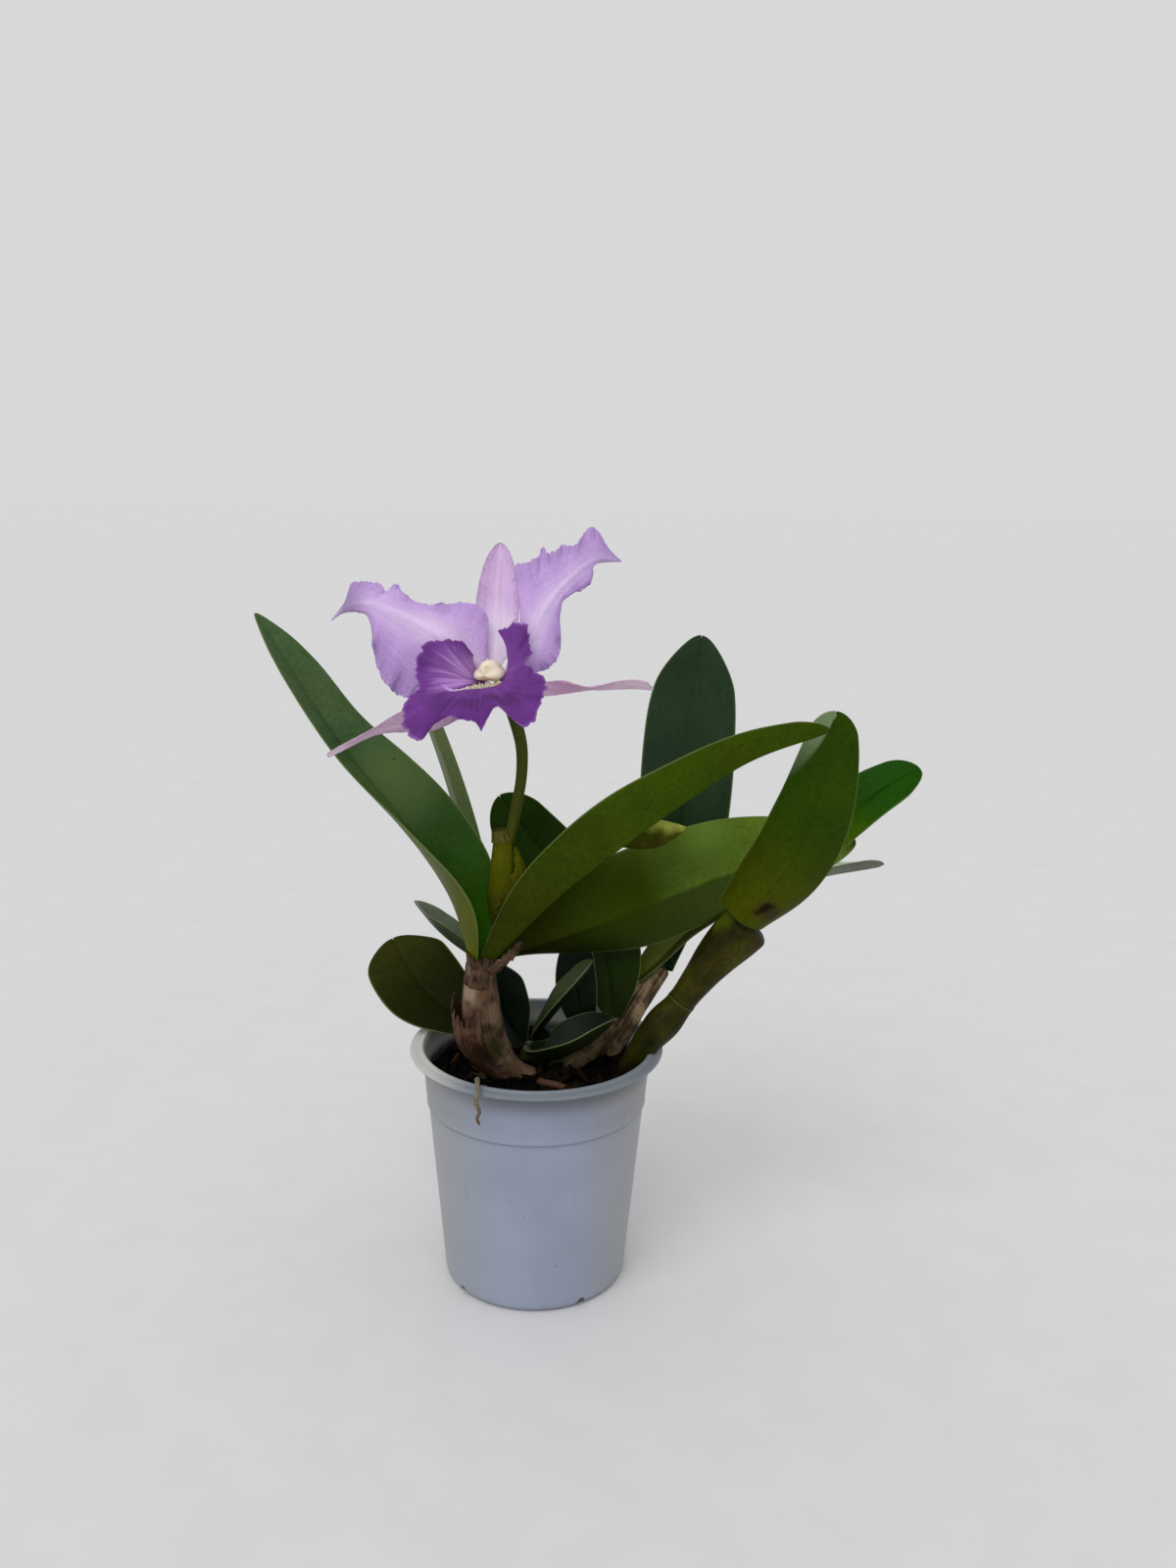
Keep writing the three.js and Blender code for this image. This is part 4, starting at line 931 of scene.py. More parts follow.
def lip_finish(colour, pale, throat):
    """Deep velvety purple with pale veins that spread from the cream throat, and painted shade on
    its middle before the fold.
    """
    s = Shader("lip_velvet", IOR=1.38, Roughness=0.6, Specular_IOR_Level=0.2,
               Sheen_Weight=0.1, Sheen_Roughness=0.45)
    out, around, _ = s.split("UV")
    vein = s.fibres(1.1, 62, 2, 0.35)
    grain = s.noise(1400, 3, roughness=0.7)
    s.base = s.tint(s.band(s.noise(110, 4), 0.35, 0.7, 0, 0.7), colour, paint(colour, 0.62))
    # painted shade: the middle of the lip darker before its fold
    fold_shade = s.times(s.window(out, 0.52, 0.62, 0.66, 0.84),
                          s.window(around, 0.24, 0.34, 0.66, 0.76))
    s.coat(s.times(fold_shade, 0.6), paint(colour, 0.3))
    bend = s.maths("MAXIMUM", s.maths("MULTIPLY_ADD", around, -4.45, 2.11), 0)
    ridge = s.away(out, s.maths("MULTIPLY_ADD", s.times(bend, bend), 0.26, 0.33))
    ridge = s.times(s.band(ridge, 0.01, 0.035, 1, 0), s.window(around, 0.23, 0.27, 0.7, 0.76))
    side_lobe = s.maths("MAXIMUM", s.band(around, 0.24, 0.3, 1, 0),
                        s.band(around, 0.74, 0.86, 0, 0.18))
    veined = s.times(s.band(out, 0.3, 0.93, 1, 0), side_lobe)
    s.coat(s.times(veined, 0.4), pale)
    s.coat(s.times(veined, s.band(vein, 0.5, 0.58)), pale)
    faint = s.times(s.band(vein, 0.48, 0.66), s.band(out, 0.4, 0.95, 0.3, 0.1))
    s.coat(faint, paint(colour, 1.6))
    s.coat(s.band(grain, 0.54, 0.74, 0, 0.3), paint(colour, 1.9))
    s.coat(s.band(grain, 0.3, 0.45, 0.4, 0), paint(colour, 0.5))
    s.coat(s.band(out, 0.965, 0.995, 0, 0.25), pale)
    deep = s.times(s.band(out, 0.26, 0.36, 1, 0), s.band(s.away(around, 0.55), 0.1, 0.3, 1, 0))
    s.coat(deep, throat)
    s.coat(s.times(ridge, 0.75), pale)
    return s.done((grain, 0.06), (vein, 0.3))


def waxy_finish(name, colour, dark, *patches):
    """Smooth waxy tissue."""
    s = Shader(name, IOR=1.4, Roughness=0.42, Specular_IOR_Level=0.35, Subsurface_Weight=0.2,
               Subsurface_Scale=0.002, Subsurface_Radius=(1, 0.9, 0.8))
    s.base = s.tint(s.band(s.noise(260), 0.45, 0.7), colour, dark)
    s.patch(patches)
    return s.done((s.noise(900), 0.05))


def stem_finish(name, low, high):
    """A green stalk, browner low down, with faint lines along it."""
    s = Shader(name, IOR=1.42, Roughness=0.42, Specular_IOR_Level=0.12)
    _, up_stem, _ = s.split("UV")
    line = s.fibres(16, 2)
    s.base = s.tint(s.band(up_stem, 0.3, 0.75), low, high)
    s.coat(s.band(line, 0.45, 0.7, 0, 0.5), paint(high, 1.6))
    s.coat(s.band(s.noise(500, 4), 0.6, 0.72, 0, 0.5), "#3a2d18")
    return s.done((line, 0.15))


def root_finish(name, colour, tip):
    """Spongy pale root with a darker growing tip."""
    s = Shader(name, Roughness=0.75)
    _, down_root, _ = s.split("UV")
    stain = s.noise(420, 5, roughness=0.7)
    s.base = s.tint(s.band(stain, 0.4, 0.68), colour, paint(colour, 0.45))
    s.coat(s.band(down_root, 0.86, 0.95), tip)
    return s.done((stain, 0.2))


# ---------------------------------------------------------------- pot and medium

def turned(name, outline, sides):
    """A closed piece turned about the plant's axis. outline is radius and height, in mm."""
    deselect()
    radius, height = outline[0]
    bpy.ops.mesh.primitive_circle_add(vertices=sides, radius=radius * MM)
    piece = named(name)
    bpy.ops.object.mode_set(mode="EDIT")
    bpy.ops.transform.translate(value=(0, 0, height * MM))
    for next_radius, next_height in outline[1:]:
        rise = {"value": (0, 0, (next_height - height) * MM)}
        bpy.ops.mesh.extrude_region_move(TRANSFORM_OT_translate=rise)
        size = next_radius / radius
        bpy.ops.transform.resize(value=(size, size, 1),
                                 center_override=(0, 0, next_height * MM))
        radius, height = next_radius, next_height
    bpy.ops.mesh.select_all(action="SELECT")
    bpy.ops.mesh.fill_holes(sides=0)
    bpy.ops.mesh.select_all(action="SELECT")
    bpy.ops.mesh.normals_make_consistent(inside=False)
    bpy.ops.object.mode_set(mode="OBJECT")
    return piece


def wall_radius(z, height):
    """The pot's outer radius at a height z, both in millimetres."""
    share = z / (height - POT_RIM_DEPTH)
    return POT_WALL_BOTTOM + (POT_WALL_TOP - POT_WALL_BOTTOM) * share


def pot_outline(height, rim):
    """From under the foot, up the wall, over the rolled rim and down inside to the floor."""
    under_rim = height - POT_RIM_DEPTH

    def wall(z):
        return wall_radius(z, height)

    outside = [(POT_FOOT - 6, 0.9), (POT_FOOT - 4.5, 0), (POT_FOOT - 1.5, 0),
               (POT_FOOT + 0.2, 0.25), (POT_FOOT + 1.1, 1.1), (wall(2.6) - 0.2, 2.4),
               (wall(3.6), 3.8)]
    outside += [(wall(z) - POT_STEP / 2 * z / POT_STEP_HEIGHT, z)
                for z in np.linspace(12, POT_STEP_HEIGHT - 0.5, 9)]
    outside += [(wall(POT_STEP_HEIGHT) + out, POT_STEP_HEIGHT + up)
                for out, up in ((-0.3, 0), (0.5, 0.5), (0.6, 1), (0.4, 1.6))]
    outside += [(wall(under_rim - 8) + 0.2, under_rim - 8),
                (wall(under_rim) + 0.1, under_rim - 0.7),
                (wall(under_rim) + 0.6, under_rim - 0.15)]
    lip = [(rim - into, under_rim + up)
           for into, up in ((2.4, -0.1), (0.9, -0.1), (0.2, 0.3), (0, 0.9), (0.1, 1.4))]
    lip += [(rim - 0.8, height - 1.1), (rim - 1.8, height - 0.95)]
    lip += [(wall(height) + out, height - down)
            for out, down in ((1.5, 0.75), (1.1, 0.2), (0.4, 0), (-0.4, 0.2), (-1, 1.2))]
    inside = [(wall(z) - POT_WALL, z) for z in (under_rim - 1, under_rim - 7, 90, 60, 30, 5)]
    floor = [(wall(POT_FLOOR) - into, POT_FLOOR + up)
             for into, up in ((2.6, 1), (4, 0.2), (8, 0))]
    return outside + lip + inside + floor


def drain_cutter(angle):
    """The body that cuts one drain notch into the pot's foot."""
    turn = math.radians(angle)
    reach = (POT_FOOT - 2) * MM
    deselect()
    bpy.ops.mesh.primitive_cylinder_add(
        vertices=16, radius=1, depth=1, rotation=(math.pi / 2, 0, turn),
        location=(reach * math.sin(turn), -reach * math.cos(turn), 0))
    cutter = named("drain_cutter")
    cutter.scale = (DRAIN_WIDTH / 2 * MM, DRAIN_HEIGHT * MM, DRAIN_DEPTH * MM)
    bpy.ops.object.transform_apply(location=True, rotation=True, scale=True)
    return cutter


def inside_share(places, height):
    """1 inside the pot and 0 on its outside and its lip, for places in millimetres."""
    z = places[:, 2]
    behind_wall = wall_radius(z, height) - np.hypot(places[:, 0], places[:, 1])
    share = np.clip(behind_wall - 0.5, 0, 1) * np.clip((height - 3 - z) / 2, 0, 1)
    return share * (z > POT_FLOOR)


def medium_height(x, y):
    swell = 1.3 * np.sin(x / 9 + 1) * np.cos(y / 11) + 0.9 * np.sin((x + y) / 4.5)
    return MEDIUM_LEVEL + swell


def bark_bed(height):
    """The body of the medium, with a lumpy top."""
    room = POT_WALL + MEDIUM_GAP

    def inner(z):
        return wall_radius(z, height) - room

    outline = [(inner(POT_FLOOR) - 8, POT_FLOOR + 0.6), (inner(POT_FLOOR) - 3, POT_FLOOR + 1.2),
               (inner(POT_FLOOR + 3), POT_FLOOR + 4), (inner(60), 60),
               (inner(MEDIUM_LEVEL - 3), MEDIUM_LEVEL - 3)]
    outline += [(radius, MEDIUM_LEVEL) for radius in np.linspace(*MEDIUM_RINGS)]
    bed = turned("bark_bed", outline, 144)
    places = corners(bed)
    top = places[:, 2] > (MEDIUM_LEVEL - 0.5) * MM
    x, y = places[top, 0] / MM, places[top, 1] / MM
    lumps = (0.7 * np.sin(x * 0.9 + 2 * np.sin(y * 0.6)) * np.sin(y * 0.83 + 1)
             + 0.45 * np.sin(x * 2.1 + y * 1.3) * np.sin(y * 1.9 - x))
    places[top, 2] = (medium_height(x, y) + lumps - 0.6) * MM
    move_corners(bed, places)
    select(bed)
    smooth(50)
    write_attribute(bed, "tone", np.zeros(len(places)))
    return bed


def chip(name, seed, size, shift):
    """A rough splinter of bark. Its corners stray by the share shift of its size."""
    deselect()
    bpy.ops.mesh.primitive_cube_add(size=1)
    piece = named(name)
    bpy.ops.object.mode_set(mode="EDIT")
    bpy.ops.mesh.subdivide(number_cuts=1)
    bpy.ops.transform.resize(value=[s * MM for s in size])
    bpy.ops.object.mode_set(mode="OBJECT")
    draw = np.random.default_rng(seed)
    places = corners(piece)
    places += draw.uniform(-shift, shift, places.shape) * np.array(size) * MM
    move_corners(piece, places)
    return piece


def copied(models, name, matrices, tones):
    """Copies the models in turn, each with its own mesh, joins them and drops the models."""
    copies = []
    for k, (matrix, tone) in enumerate(zip(matrices, tones)):
        mesh = models[k % len(models)].data.copy()
        mesh.transform(matrix)
        copy = bpy.data.objects.new(f"{name}_{k}", mesh)
        bpy.context.collection.objects.link(copy)
        write_attribute(copy, "tone", np.full(len(mesh.vertices), tone))
        copies.append(copy)
    return joined(copies, name, models)


def joined(parts, name, spare=()):
    select(*parts)
    bpy.ops.object.join()
    piece = named(name)
    for model in spare:
        bpy.data.objects.remove(model)
    return piece


def scattered(count, reach, seed, low, high, raised):
    """Random turns, sizes and places on the medium, as matrices.

    The sizes go from low to high, and each piece is raised by that share of its size.
    """
    draw = np.random.default_rng(seed)
    matrices = []
    for _ in range(count):
        away = reach * math.sqrt(draw.uniform())
        bearing = draw.uniform(0, 2 * math.pi)
        x, y = away * math.cos(bearing), away * math.sin(bearing)
        size = draw.uniform(low, high)
        turn = Euler([draw.normal(0, 0.45), draw.normal(0, 0.45), draw.uniform(0, 6.28)])
        place = Vector((x, y, medium_height(x, y) + raised * size)) * MM
        matrices.append(Matrix.LocRotScale(place, turn, Vector((size, size, size))))
    return matrices


# ---------------------------------------------------------------- leaves

def leaf_surface(path, face, width, fold, cup, tip, phase, second=None, **_):
    """The surface of one entry of LEAVES. second is the half width beyond the midrib."""
    spine = Spine(path)
    round_from = 1 - tip / spine.length

    def surface(u, v):
        u = 1 - (1 - u) ** 1.8              # rows stand closer together towards the tip
        v = v * (0.55 + 0.45 * np.abs(v))   # and columns towards the midrib
        point, tangent = spine.at(u)
        up = along(face, u)
        up = unit(up - tangent * (up * tangent).sum(1, keepdims=True))
        side = np.cross(tangent, up)
        past = np.maximum(0, (u - round_from) / (1 - round_from))
        half = np.where(v < 0, along(width, u), along(second or width, u))
        half = half * np.sqrt(np.maximum(0.002, 1 - past ** 2))
        rise = np.radians(along(fold, u))
        turn = np.radians(along(cup, u))
        reach = np.abs(v)
        angle = rise + turn * reach
        out = half / turn * (np.sin(angle) - np.sin(rise))
        lift = half / turn * (np.cos(rise) - np.cos(angle))
        lift += LEAF_RIPPLE * half * reach ** 2 * np.sin(9 * u + 1.7 * v + phase)
        lift -= LEAF_KEEL * np.exp(-(v / 0.06) ** 2) * np.sin(math.pi * np.clip(u, 0, 1)) ** 0.3
        nick = LEAF_NOTCH * np.maximum(0, 1 - reach / 0.5) * past ** 4
        return (point + side * (np.sign(v) * out)[:, None] + up * lift[:, None]
                - tangent * nick[:, None])

    return surface


# ---------------------------------------------------------------- bulbs and sheaths

def husk(name, limb, start, end, middle, sweep, lift, flare, tear, seed, wrinkle=0.22,
         rows=56, columns=64):
    """A papery sheath round a limb from start to end along it.

    middle and sweep are the angle of its middle and its whole width, lift and flare how far it
    and its edges stand off, and tear how ragged its upper end is.
    """
    def surface(u, v):
        angle = middle + v * sweep / 2
        torn = tear * ragged(angle + seed, seed)
        t = start + (end - start) * u + torn * u ** 3
        fold = wrinkle * (np.sin(11 * angle + 2 * t + seed) + 0.6 * np.sin(23 * angle - 5 * t))
        off = lift + fold * (0.4 + 0.6 * u) + flare * (np.abs(v) ** 6 + 0.7 * u ** 8)
        return limb.skin(t, angle, off)

    return blade(name, surface, rows, columns, HUSK_THICKNESS, 0.5)


def flap_surface(path, width):
    """A torn strip of husk that curls as it stands off."""
    spine = Spine(path)

    def surface(u, v):
        point, tangent = spine.at(u)
        side = unit(np.cross(tangent, (0.2, -1, 0.3)))
        half = along(width, u) * (1 + 0.25 * ragged(2 * math.pi * u + v, 6, (5, 11, 19)))
        point = point + side * (v * half)[:, None]
        point[:, 1] += 0.9 * v * v + 0.3 * np.sin(11 * u + 4 * v)
        return point

    return surface


def ribbed(depth, ribs, rings=(), ring_depth=0.0):
    """A skin with soft ribs along the limb, and a raised ring at each share in rings."""
    def relief(t, angle):
        lift = depth * (np.sin(ribs * angle + 2 * np.sin(5 * t)) + 0.5 * np.sin(
            (2 * ribs + 1) * angle + 9 * t))
        for ring in rings:
            lift = lift + ring_depth * np.exp(-((t - ring) / 0.012) ** 2)
        return lift

    return relief


# ---------------------------------------------------------------- flower

def tepal_surface(low, mid, high, ruffle, waves, slot):
    """The surface of one entry of TEPALS."""
    crinkle = CRINKLE[slot]

    def surface(u, v):
        point = (along(mid, u) * (1 - v * v)[:, None]
                 + along(low, u) * (v * (v - 1) / 2)[:, None]
                 + along(high, u) * (v * (v + 1) / 2)[:, None])
        open_share = np.sin(math.pi * u)
        reach = np.abs(v)
        wave = ruffle * open_share * reach ** 3 * np.sin(2 * math.pi * waves * u + v)
        wave += crinkle * open_share * reach ** 3 * (
            0.6 * np.sin(37 * u + 3 * v) + 0.7 * np.sin(71 * u - 5 * v + 1)
            + 0.4 * reach ** 2 * np.sin(127 * u + 2 * v))
        wave += 0.25 * crinkle * open_share * np.sin(13 * u + 7 * v) * np.cos(9 * u - 11 * v)
        wave += 0.6 * np.exp(-(v / 0.12) ** 2) * open_share
        point[:, 2] += wave
        edge = 0.7 * crinkle * open_share * reach ** 6 * ragged(
            2 * math.pi * u + v, 9, (13, 29, 43, 61))
        point[:, 1] += edge * np.sign(v)
        return flower_to_plant(point)

    return surface


def lip_place(u, v):
    """The lip at u round it and v out from its claw, in the flower's own frame."""
    out = (v + 1) / 2
    outwards = shares(4, out)
    round_it = shares(len(LIP_RIBS), u)
    point = np.einsum("nr,rkc,nk->nc", round_it, np.array(LIP_RIBS, float), outwards[:, :3])
    point += along(LIP_MARGIN, u) * outwards[:, 3:]
    wave = LIP_FRILL * np.sin(2 * math.pi * LIP_WAVES * u) * out ** 4
    wave += LIP_CRIMP * np.sin(2 * math.pi * 2.7 * LIP_WAVES * u + 1) * out ** 6
    point[:, 2] += wave
    point[:, 1] += 0.5 * wave
    tooth = LIP_TEETH * ragged(2 * math.pi * u, 4, (31, 47, 71, 97)) * out ** 12
    return point + (point - np.array(LIP_MIDDLE)) * tooth[:, None]


def lip_surface(u, v):
    return flower_to_plant(lip_place(u, v))


def crest_surface(shift, height, seed):
    """A frilled cream ridge along the lip's fold and across its throat."""
    def surface(u, v):
        around = 0.25 + 0.5 * u
        out = 0.33 + shift + 0.26 * np.maximum(0, 1 - u / 0.45) ** 2
        foot = lip_place(around, 2 * out - 1)
        tall = height * (0.35 + 0.65 * np.clip((u - 0.15) / 0.3, 0, 1))
        rise = tall * np.sin(math.pi * u) ** 0.4 * (0.8 + 0.35 * ragged(
            2 * math.pi * u, seed + 3, (17, 31, 47)))
        lean = 0.35 * np.sin(47 * u + seed)
        up = unit(np.stack([0.2 * lean, 0.75 + 0 * u, 0.7 + lean], 1))
        return flower_to_plant(foot + up * (0.5 * rise * (v + 0.8))[:, None])

    return surface


# ---------------------------------------------------------------- settings

def colour_setting(name, description, code):
    return bpy.props.FloatVectorProperty(name=name, description=description, subtype="COLOR",
                                         size=3, min=0, max=1, default=paint(code))


def length_setting(name, description, default):
    return bpy.props.FloatProperty(name=name, description=description, default=default,
                                   unit="LENGTH", subtype="DISTANCE", min=0)


def share_setting(name, description, default):
    return bpy.props.FloatProperty(name=name, description=description, default=default,
                                   subtype="FACTOR", min=0, max=1)


class PotSettings(bpy.types.PropertyGroup):
    height: length_setting("Height", "Height of the pot", float(POT_BOX[1][2]))
    rim_radius: length_setting("Rim Radius", "Radius over the rolled rim",
                               float(POT_BOX[1][0]))
    colour: colour_setting("Plastic", "Colour of the plastic", "#99a0b5")
    dirt: share_setting("Dirt", "How much mud has dried on the wall", 0.5)
    bark: colour_setting("Bark", "Colour of the damp bark", "#0d0a07")
    chips: bpy.props.IntProperty(name="Chips", description="Number of bark chips",
                                 default=230, min=1, max=400)


class BulbSettings(bpy.types.PropertyGroup):
    husk_light: colour_setting("Husk", "Dry sheath, lighter fibres", "#6b5744")
    husk_dark: colour_setting("Husk Shade", "Dry sheath, between its fibres", "#342417")
    green: colour_setting("Green Bulb", "Bare green bulb", "#3e4006")
    green_shade: colour_setting("Green Bulb Shade", "Darker parts of the bare bulb", "#1c2001")
    root: colour_setting("Root", "Dry covering of the roots", "#7a7058")


class LeafSettings(bpy.types.PropertyGroup):
    thickness: length_setting("Thickness", "Thickness of a leaf along its middle", 1.7 * MM)
    margin: colour_setting("Margin", "Thin pale line round a leaf", "#6f7c48")
    gloss: share_setting("Roughness", "Roughness of the leaf surface", 0.42)
    sheath: colour_setting("Sheath Ridge", "Pale ridge of the flower's sheaths", "#8c8a3a")


class FlowerSettings(bpy.types.PropertyGroup):
    thickness: length_setting("Thickness", "Thickness of petals and sepals", 0.8 * MM)
    petal: colour_setting("Petal", "Petals", "#cba9e2")
    petal_pale: colour_setting("Petal Middle", "Pale middle of the petals", "#e2cff0")
    sepal: colour_setting("Sepal", "Sepals", "#dfbfea")
    lip: colour_setting("Lip", "Deep colour of the lip", "#70378c")
    lip_pale: colour_setting("Lip Veins", "Pale veins of the lip", "#cda0e2")
    column: colour_setting("Column", "Waxy column over the lip's throat", "#f4e8d0")
    stem: colour_setting("Stem", "Flower stem", "#3a4210")


class StageSettings(bpy.types.PropertyGroup):
    ground: colour_setting("Floor", "Floor", "#dedede")
    wall: colour_setting("Backdrop", "Light that comes from all round", "#d8d8d9")
    sun: bpy.props.FloatProperty(name="Key Light", description="Strength of the main light",
                                 default=1.0, min=0)
    room: bpy.props.FloatProperty(name="Room Light", description="Strength of the room light",
                                  default=1.0, min=0)


# ---------------------------------------------------------------- pieces

def cover(node, spec, slot, finish, relief, segments=40, rings=60, cap=0.04):
    """A limb's skin in place of the solid called node."""
    piece = stalk(f"{node}_skin", Limb(**spec), segments, rings, relief, cap)
    if slot == "sheath":    # a closed sheath shows a leaf's upper side all round
        write_attribute(piece, "upper", np.ones(len(piece.data.vertices)))
    finish_piece(piece, slot, finish, node)


class OrchidPiece:
    bl_options = {"REGISTER", "UNDO"}


class ORCHID_OT_pot(OrchidPiece, bpy.types.Operator):
    """Add the plastic pot with its rolled rim and drain notches"""

    bl_idname = "orchid.add_pot"
    bl_label = "Pot"

    def execute(self, context):
        settings = context.scene.orchid_pot
        height = settings.height / MM
        pot = turned("plastic_pot", pot_outline(height, settings.rim_radius / MM), 160)
        cutter = joined([drain_cutter(angle) for angle in DRAIN_ANGLES], "drain_cutter")
        select(pot)
        apply_modifier("BOOLEAN", operation="DIFFERENCE", object=cutter, solver="EXACT")
        bpy.data.objects.remove(cutter)
        smooth(35)
        write_attribute(pot, "inside", inside_share(corners(pot) / MM, height))
        finish = plastic_finish(settings.colour, settings.dirt, height)
        finish_piece(pot, "plastic", finish, "pot")
        return {"FINISHED"}


class ORCHID_OT_medium(OrchidPiece, bpy.types.Operator):
    """Add the bark and the crumbs that fill the pot"""

    bl_idname = "orchid.add_medium"
    bl_label = "Growing Medium"

    def execute(self, context):
        settings = context.scene.orchid_pot
        bark = bark_finish(settings.bark)
        finish_piece(bark_bed(settings.height / MM), "bark", bark, "growing_medium")

        sizes = [(9, 5, 2.4), (6, 4.2, 3), (11, 3.6, 2), (5, 4.6, 2.6)]
        models = [chip(f"chip_{k}", 11 + k, size, 0.16) for k, size in enumerate(sizes)]
        matrices = scattered(settings.chips, 45, seed=5, low=0.55, high=1.15, raised=0.9)
        draw = np.random.default_rng(6)
        tones = []
        for matrix in matrices:
            tone = draw.uniform(0, 1)
            mossy = matrix.translation.x < MOSS_EDGE * MM and draw.uniform() < MOSSY_SHARE
            tones.append(tone + (MOSSY_TONE if mossy else 0))
        finish_piece(copied(models, "bark_chips", matrices, tones), "bark", bark)

        models = [chip(f"crumb_{k}", 21 + k, (2.2, 1.6, 1.3), 0.25) for k in range(3)]
        matrices = scattered(CRUMBS, 48.5, seed=8, low=0.5, high=1.3, raised=0.5)
        tones = [RUSTY_TONE if draw.uniform() < RUSTY_SHARE else draw.uniform(0, 1)
                 for _ in matrices]
        finish_piece(copied(models, "bark_crumbs", matrices, tones), "bark", bark)
        return {"FINISHED"}


class ORCHID_OT_bulbs(OrchidPiece, bpy.types.Operator):
    """Add the rhizome, the pseudobulbs and their dry sheaths"""

    bl_idname = "orchid.add_bulbs"
    bl_label = "Pseudobulbs"

    def execute(self, context):
        settings = context.scene.orchid_bulbs
        light, dark = settings.husk_light, settings.husk_dark
        towards_front = (0, -1, 0)

        skin = husk_finish(
            "front_bulb_skin", light, dark,
            # the first patch, pale and high on the left, is partly the husk's pale tan and partly
            # a painted highlight where the light falls
            ((-31, -23, 150), 8, "#937f69"), ((-19.5, -22.5, 139), 9, "#7a644e"),
            ((-22.5, -24, 149), 5, "#6a4e38"), ((-23, -23, 131), 6, "#32200f"),
            ((-18.5, -23, 121), 9, "#2c2c05"), ((-17, -22, 131), 4, "#45460c"),
            ((-9, -20, 108), 10, "#4f3820"))
        limb = Limb(**BULBS["front_pseudobulb"])
        core = stalk("front_bulb", limb, 56, 90, ribbed(0.1, 9))
        finish_piece(core, "husk", skin, "front_pseudobulb")
        front = limb.angle_towards(towards_front, 0.5)
        wrap = husk("front_bulb_husk", limb, start=0.3, end=0.93, middle=front + 2.4, sweep=3.9,
                    lift=0.25, flare=0.3, tear=0.03, seed=3, wrinkle=0.12)
        finish_piece(wrap, "husk", skin)

        paper = husk_finish("old_husk", "#5f4434", "#2e1d14", ((-36, -20, 140), 7, "#8a7258"),
                            ((-24, -22, 120), 9, "#231605"))
        limb = Limb(**OLD_HUSK)
        side = limb.angle_towards((-1, -0.25, 0), 0.5)
        outer = husk("front_bulb_old_husk", limb, start=0.1, end=0.8, middle=side, sweep=3.3,
                     lift=0.4, flare=0.5, tear=0.09, seed=5, wrinkle=0.2)
        finish_piece(outer, "husk", paper)
        paper = husk_finish("collar_husk", "#5a4432", "#281a10", ((-31, -24, 160), 4, "#6a5c48"))
        limb = Limb(**COLLAR)
        front = limb.angle_towards(towards_front, 0.5)
        collar = husk("neck_collar", limb, start=0, end=0.95, middle=front, sweep=5.6, lift=0.3,
                      flare=0.5, tear=0.16, seed=9, wrinkle=0.18, rows=40, columns=72)
        flap = blade("neck_flap", flap_surface(**COLLAR_FLAP), 48, 20, 0.35, 0.5)
        finish_piece(joined([collar, flap], "neck_collar"), "husk", paper)

        green = green_bulb_finish("green_bulb", settings.green, settings.green_shade, 0.5,
                                  ((84, -12, 183), 9, "#4c5606"))
        bulb = stalk("right_bulb", Limb(**BULBS["right_pseudobulb"]), 56, 120,
                     ribbed(0.1, 7, (0.5,), 0.3))
        finish_piece(bulb, "green_bulb", green, "right_pseudobulb")
        for node, slot, finish in (
                ("back_left_pseudobulb", "husk", husk_finish("dry_husk", light, dark)),
                ("middle_pseudobulb", "husk",
                 husk_finish("old_bulb", "#6a5c40", "#352c18", streak=0.2)),
                ("back_right_pseudobulb", "husk",
                 husk_finish("pale_husk", "#a08a68", "#40301e", streak=0.5)),
                ("small_growth", "green_bulb", green)):
            cover(node, BULBS[node], slot, finish, ribbed(0.12, 7))
        cover("rhizome", RHIZOME, "rhizome", husk_finish("rhizome_skin", "#8a5a34", "#3a2416"),
              ribbed(0.15, 6, (0.15, 0.3, 0.45, 0.6, 0.75, 0.9), 0.5), 36)
        return {"FINISHED"}


class ORCHID_OT_roots(OrchidPiece, bpy.types.Operator):
    """Add the root that hangs over the rim and the one that lies on the bark"""

    bl_idname = "orchid.add_roots"
    bl_label = "Roots"

    def execute(self, context):
        settings = context.scene.orchid_bulbs
        pale = root_finish("root_skin", settings.root, "#5a3d24")
        brown = root_finish("old_root_skin", "#54351c", "#2a1a0e")
        cover("hanging_root", HANGING_ROOT, "root", pale, ribbed(0.06, 3), 24, 80)
        cover("surface_root", SURFACE_ROOT, "root", brown, ribbed(0.06, 3), 24, 80)
        return {"FINISHED"}


class ORCHID_OT_leaves(OrchidPiece, bpy.types.Operator):
    """Add the leathery leaves, each folded along its midrib"""

    bl_idname = "orchid.add_leaves"
    bl_label = "Leaves"

    def execute(self, context):
        settings = context.scene.orchid_leaves
        for k, (name, spec) in enumerate(LEAVES.items()):
            surface = leaf_surface(**spec, phase=1.3 * k)
            leaf = blade(f"{name}_blade", surface, LEAF_ROWS, LEAF_COLUMNS,
                         settings.thickness / MM, 0.3)
            finish = leaf_finish(f"{name}_skin", settings.margin, settings.gloss, **spec)
            finish_piece(leaf, spec.get("slot", "dark_leaf"), finish, name)
        return {"FINISHED"}


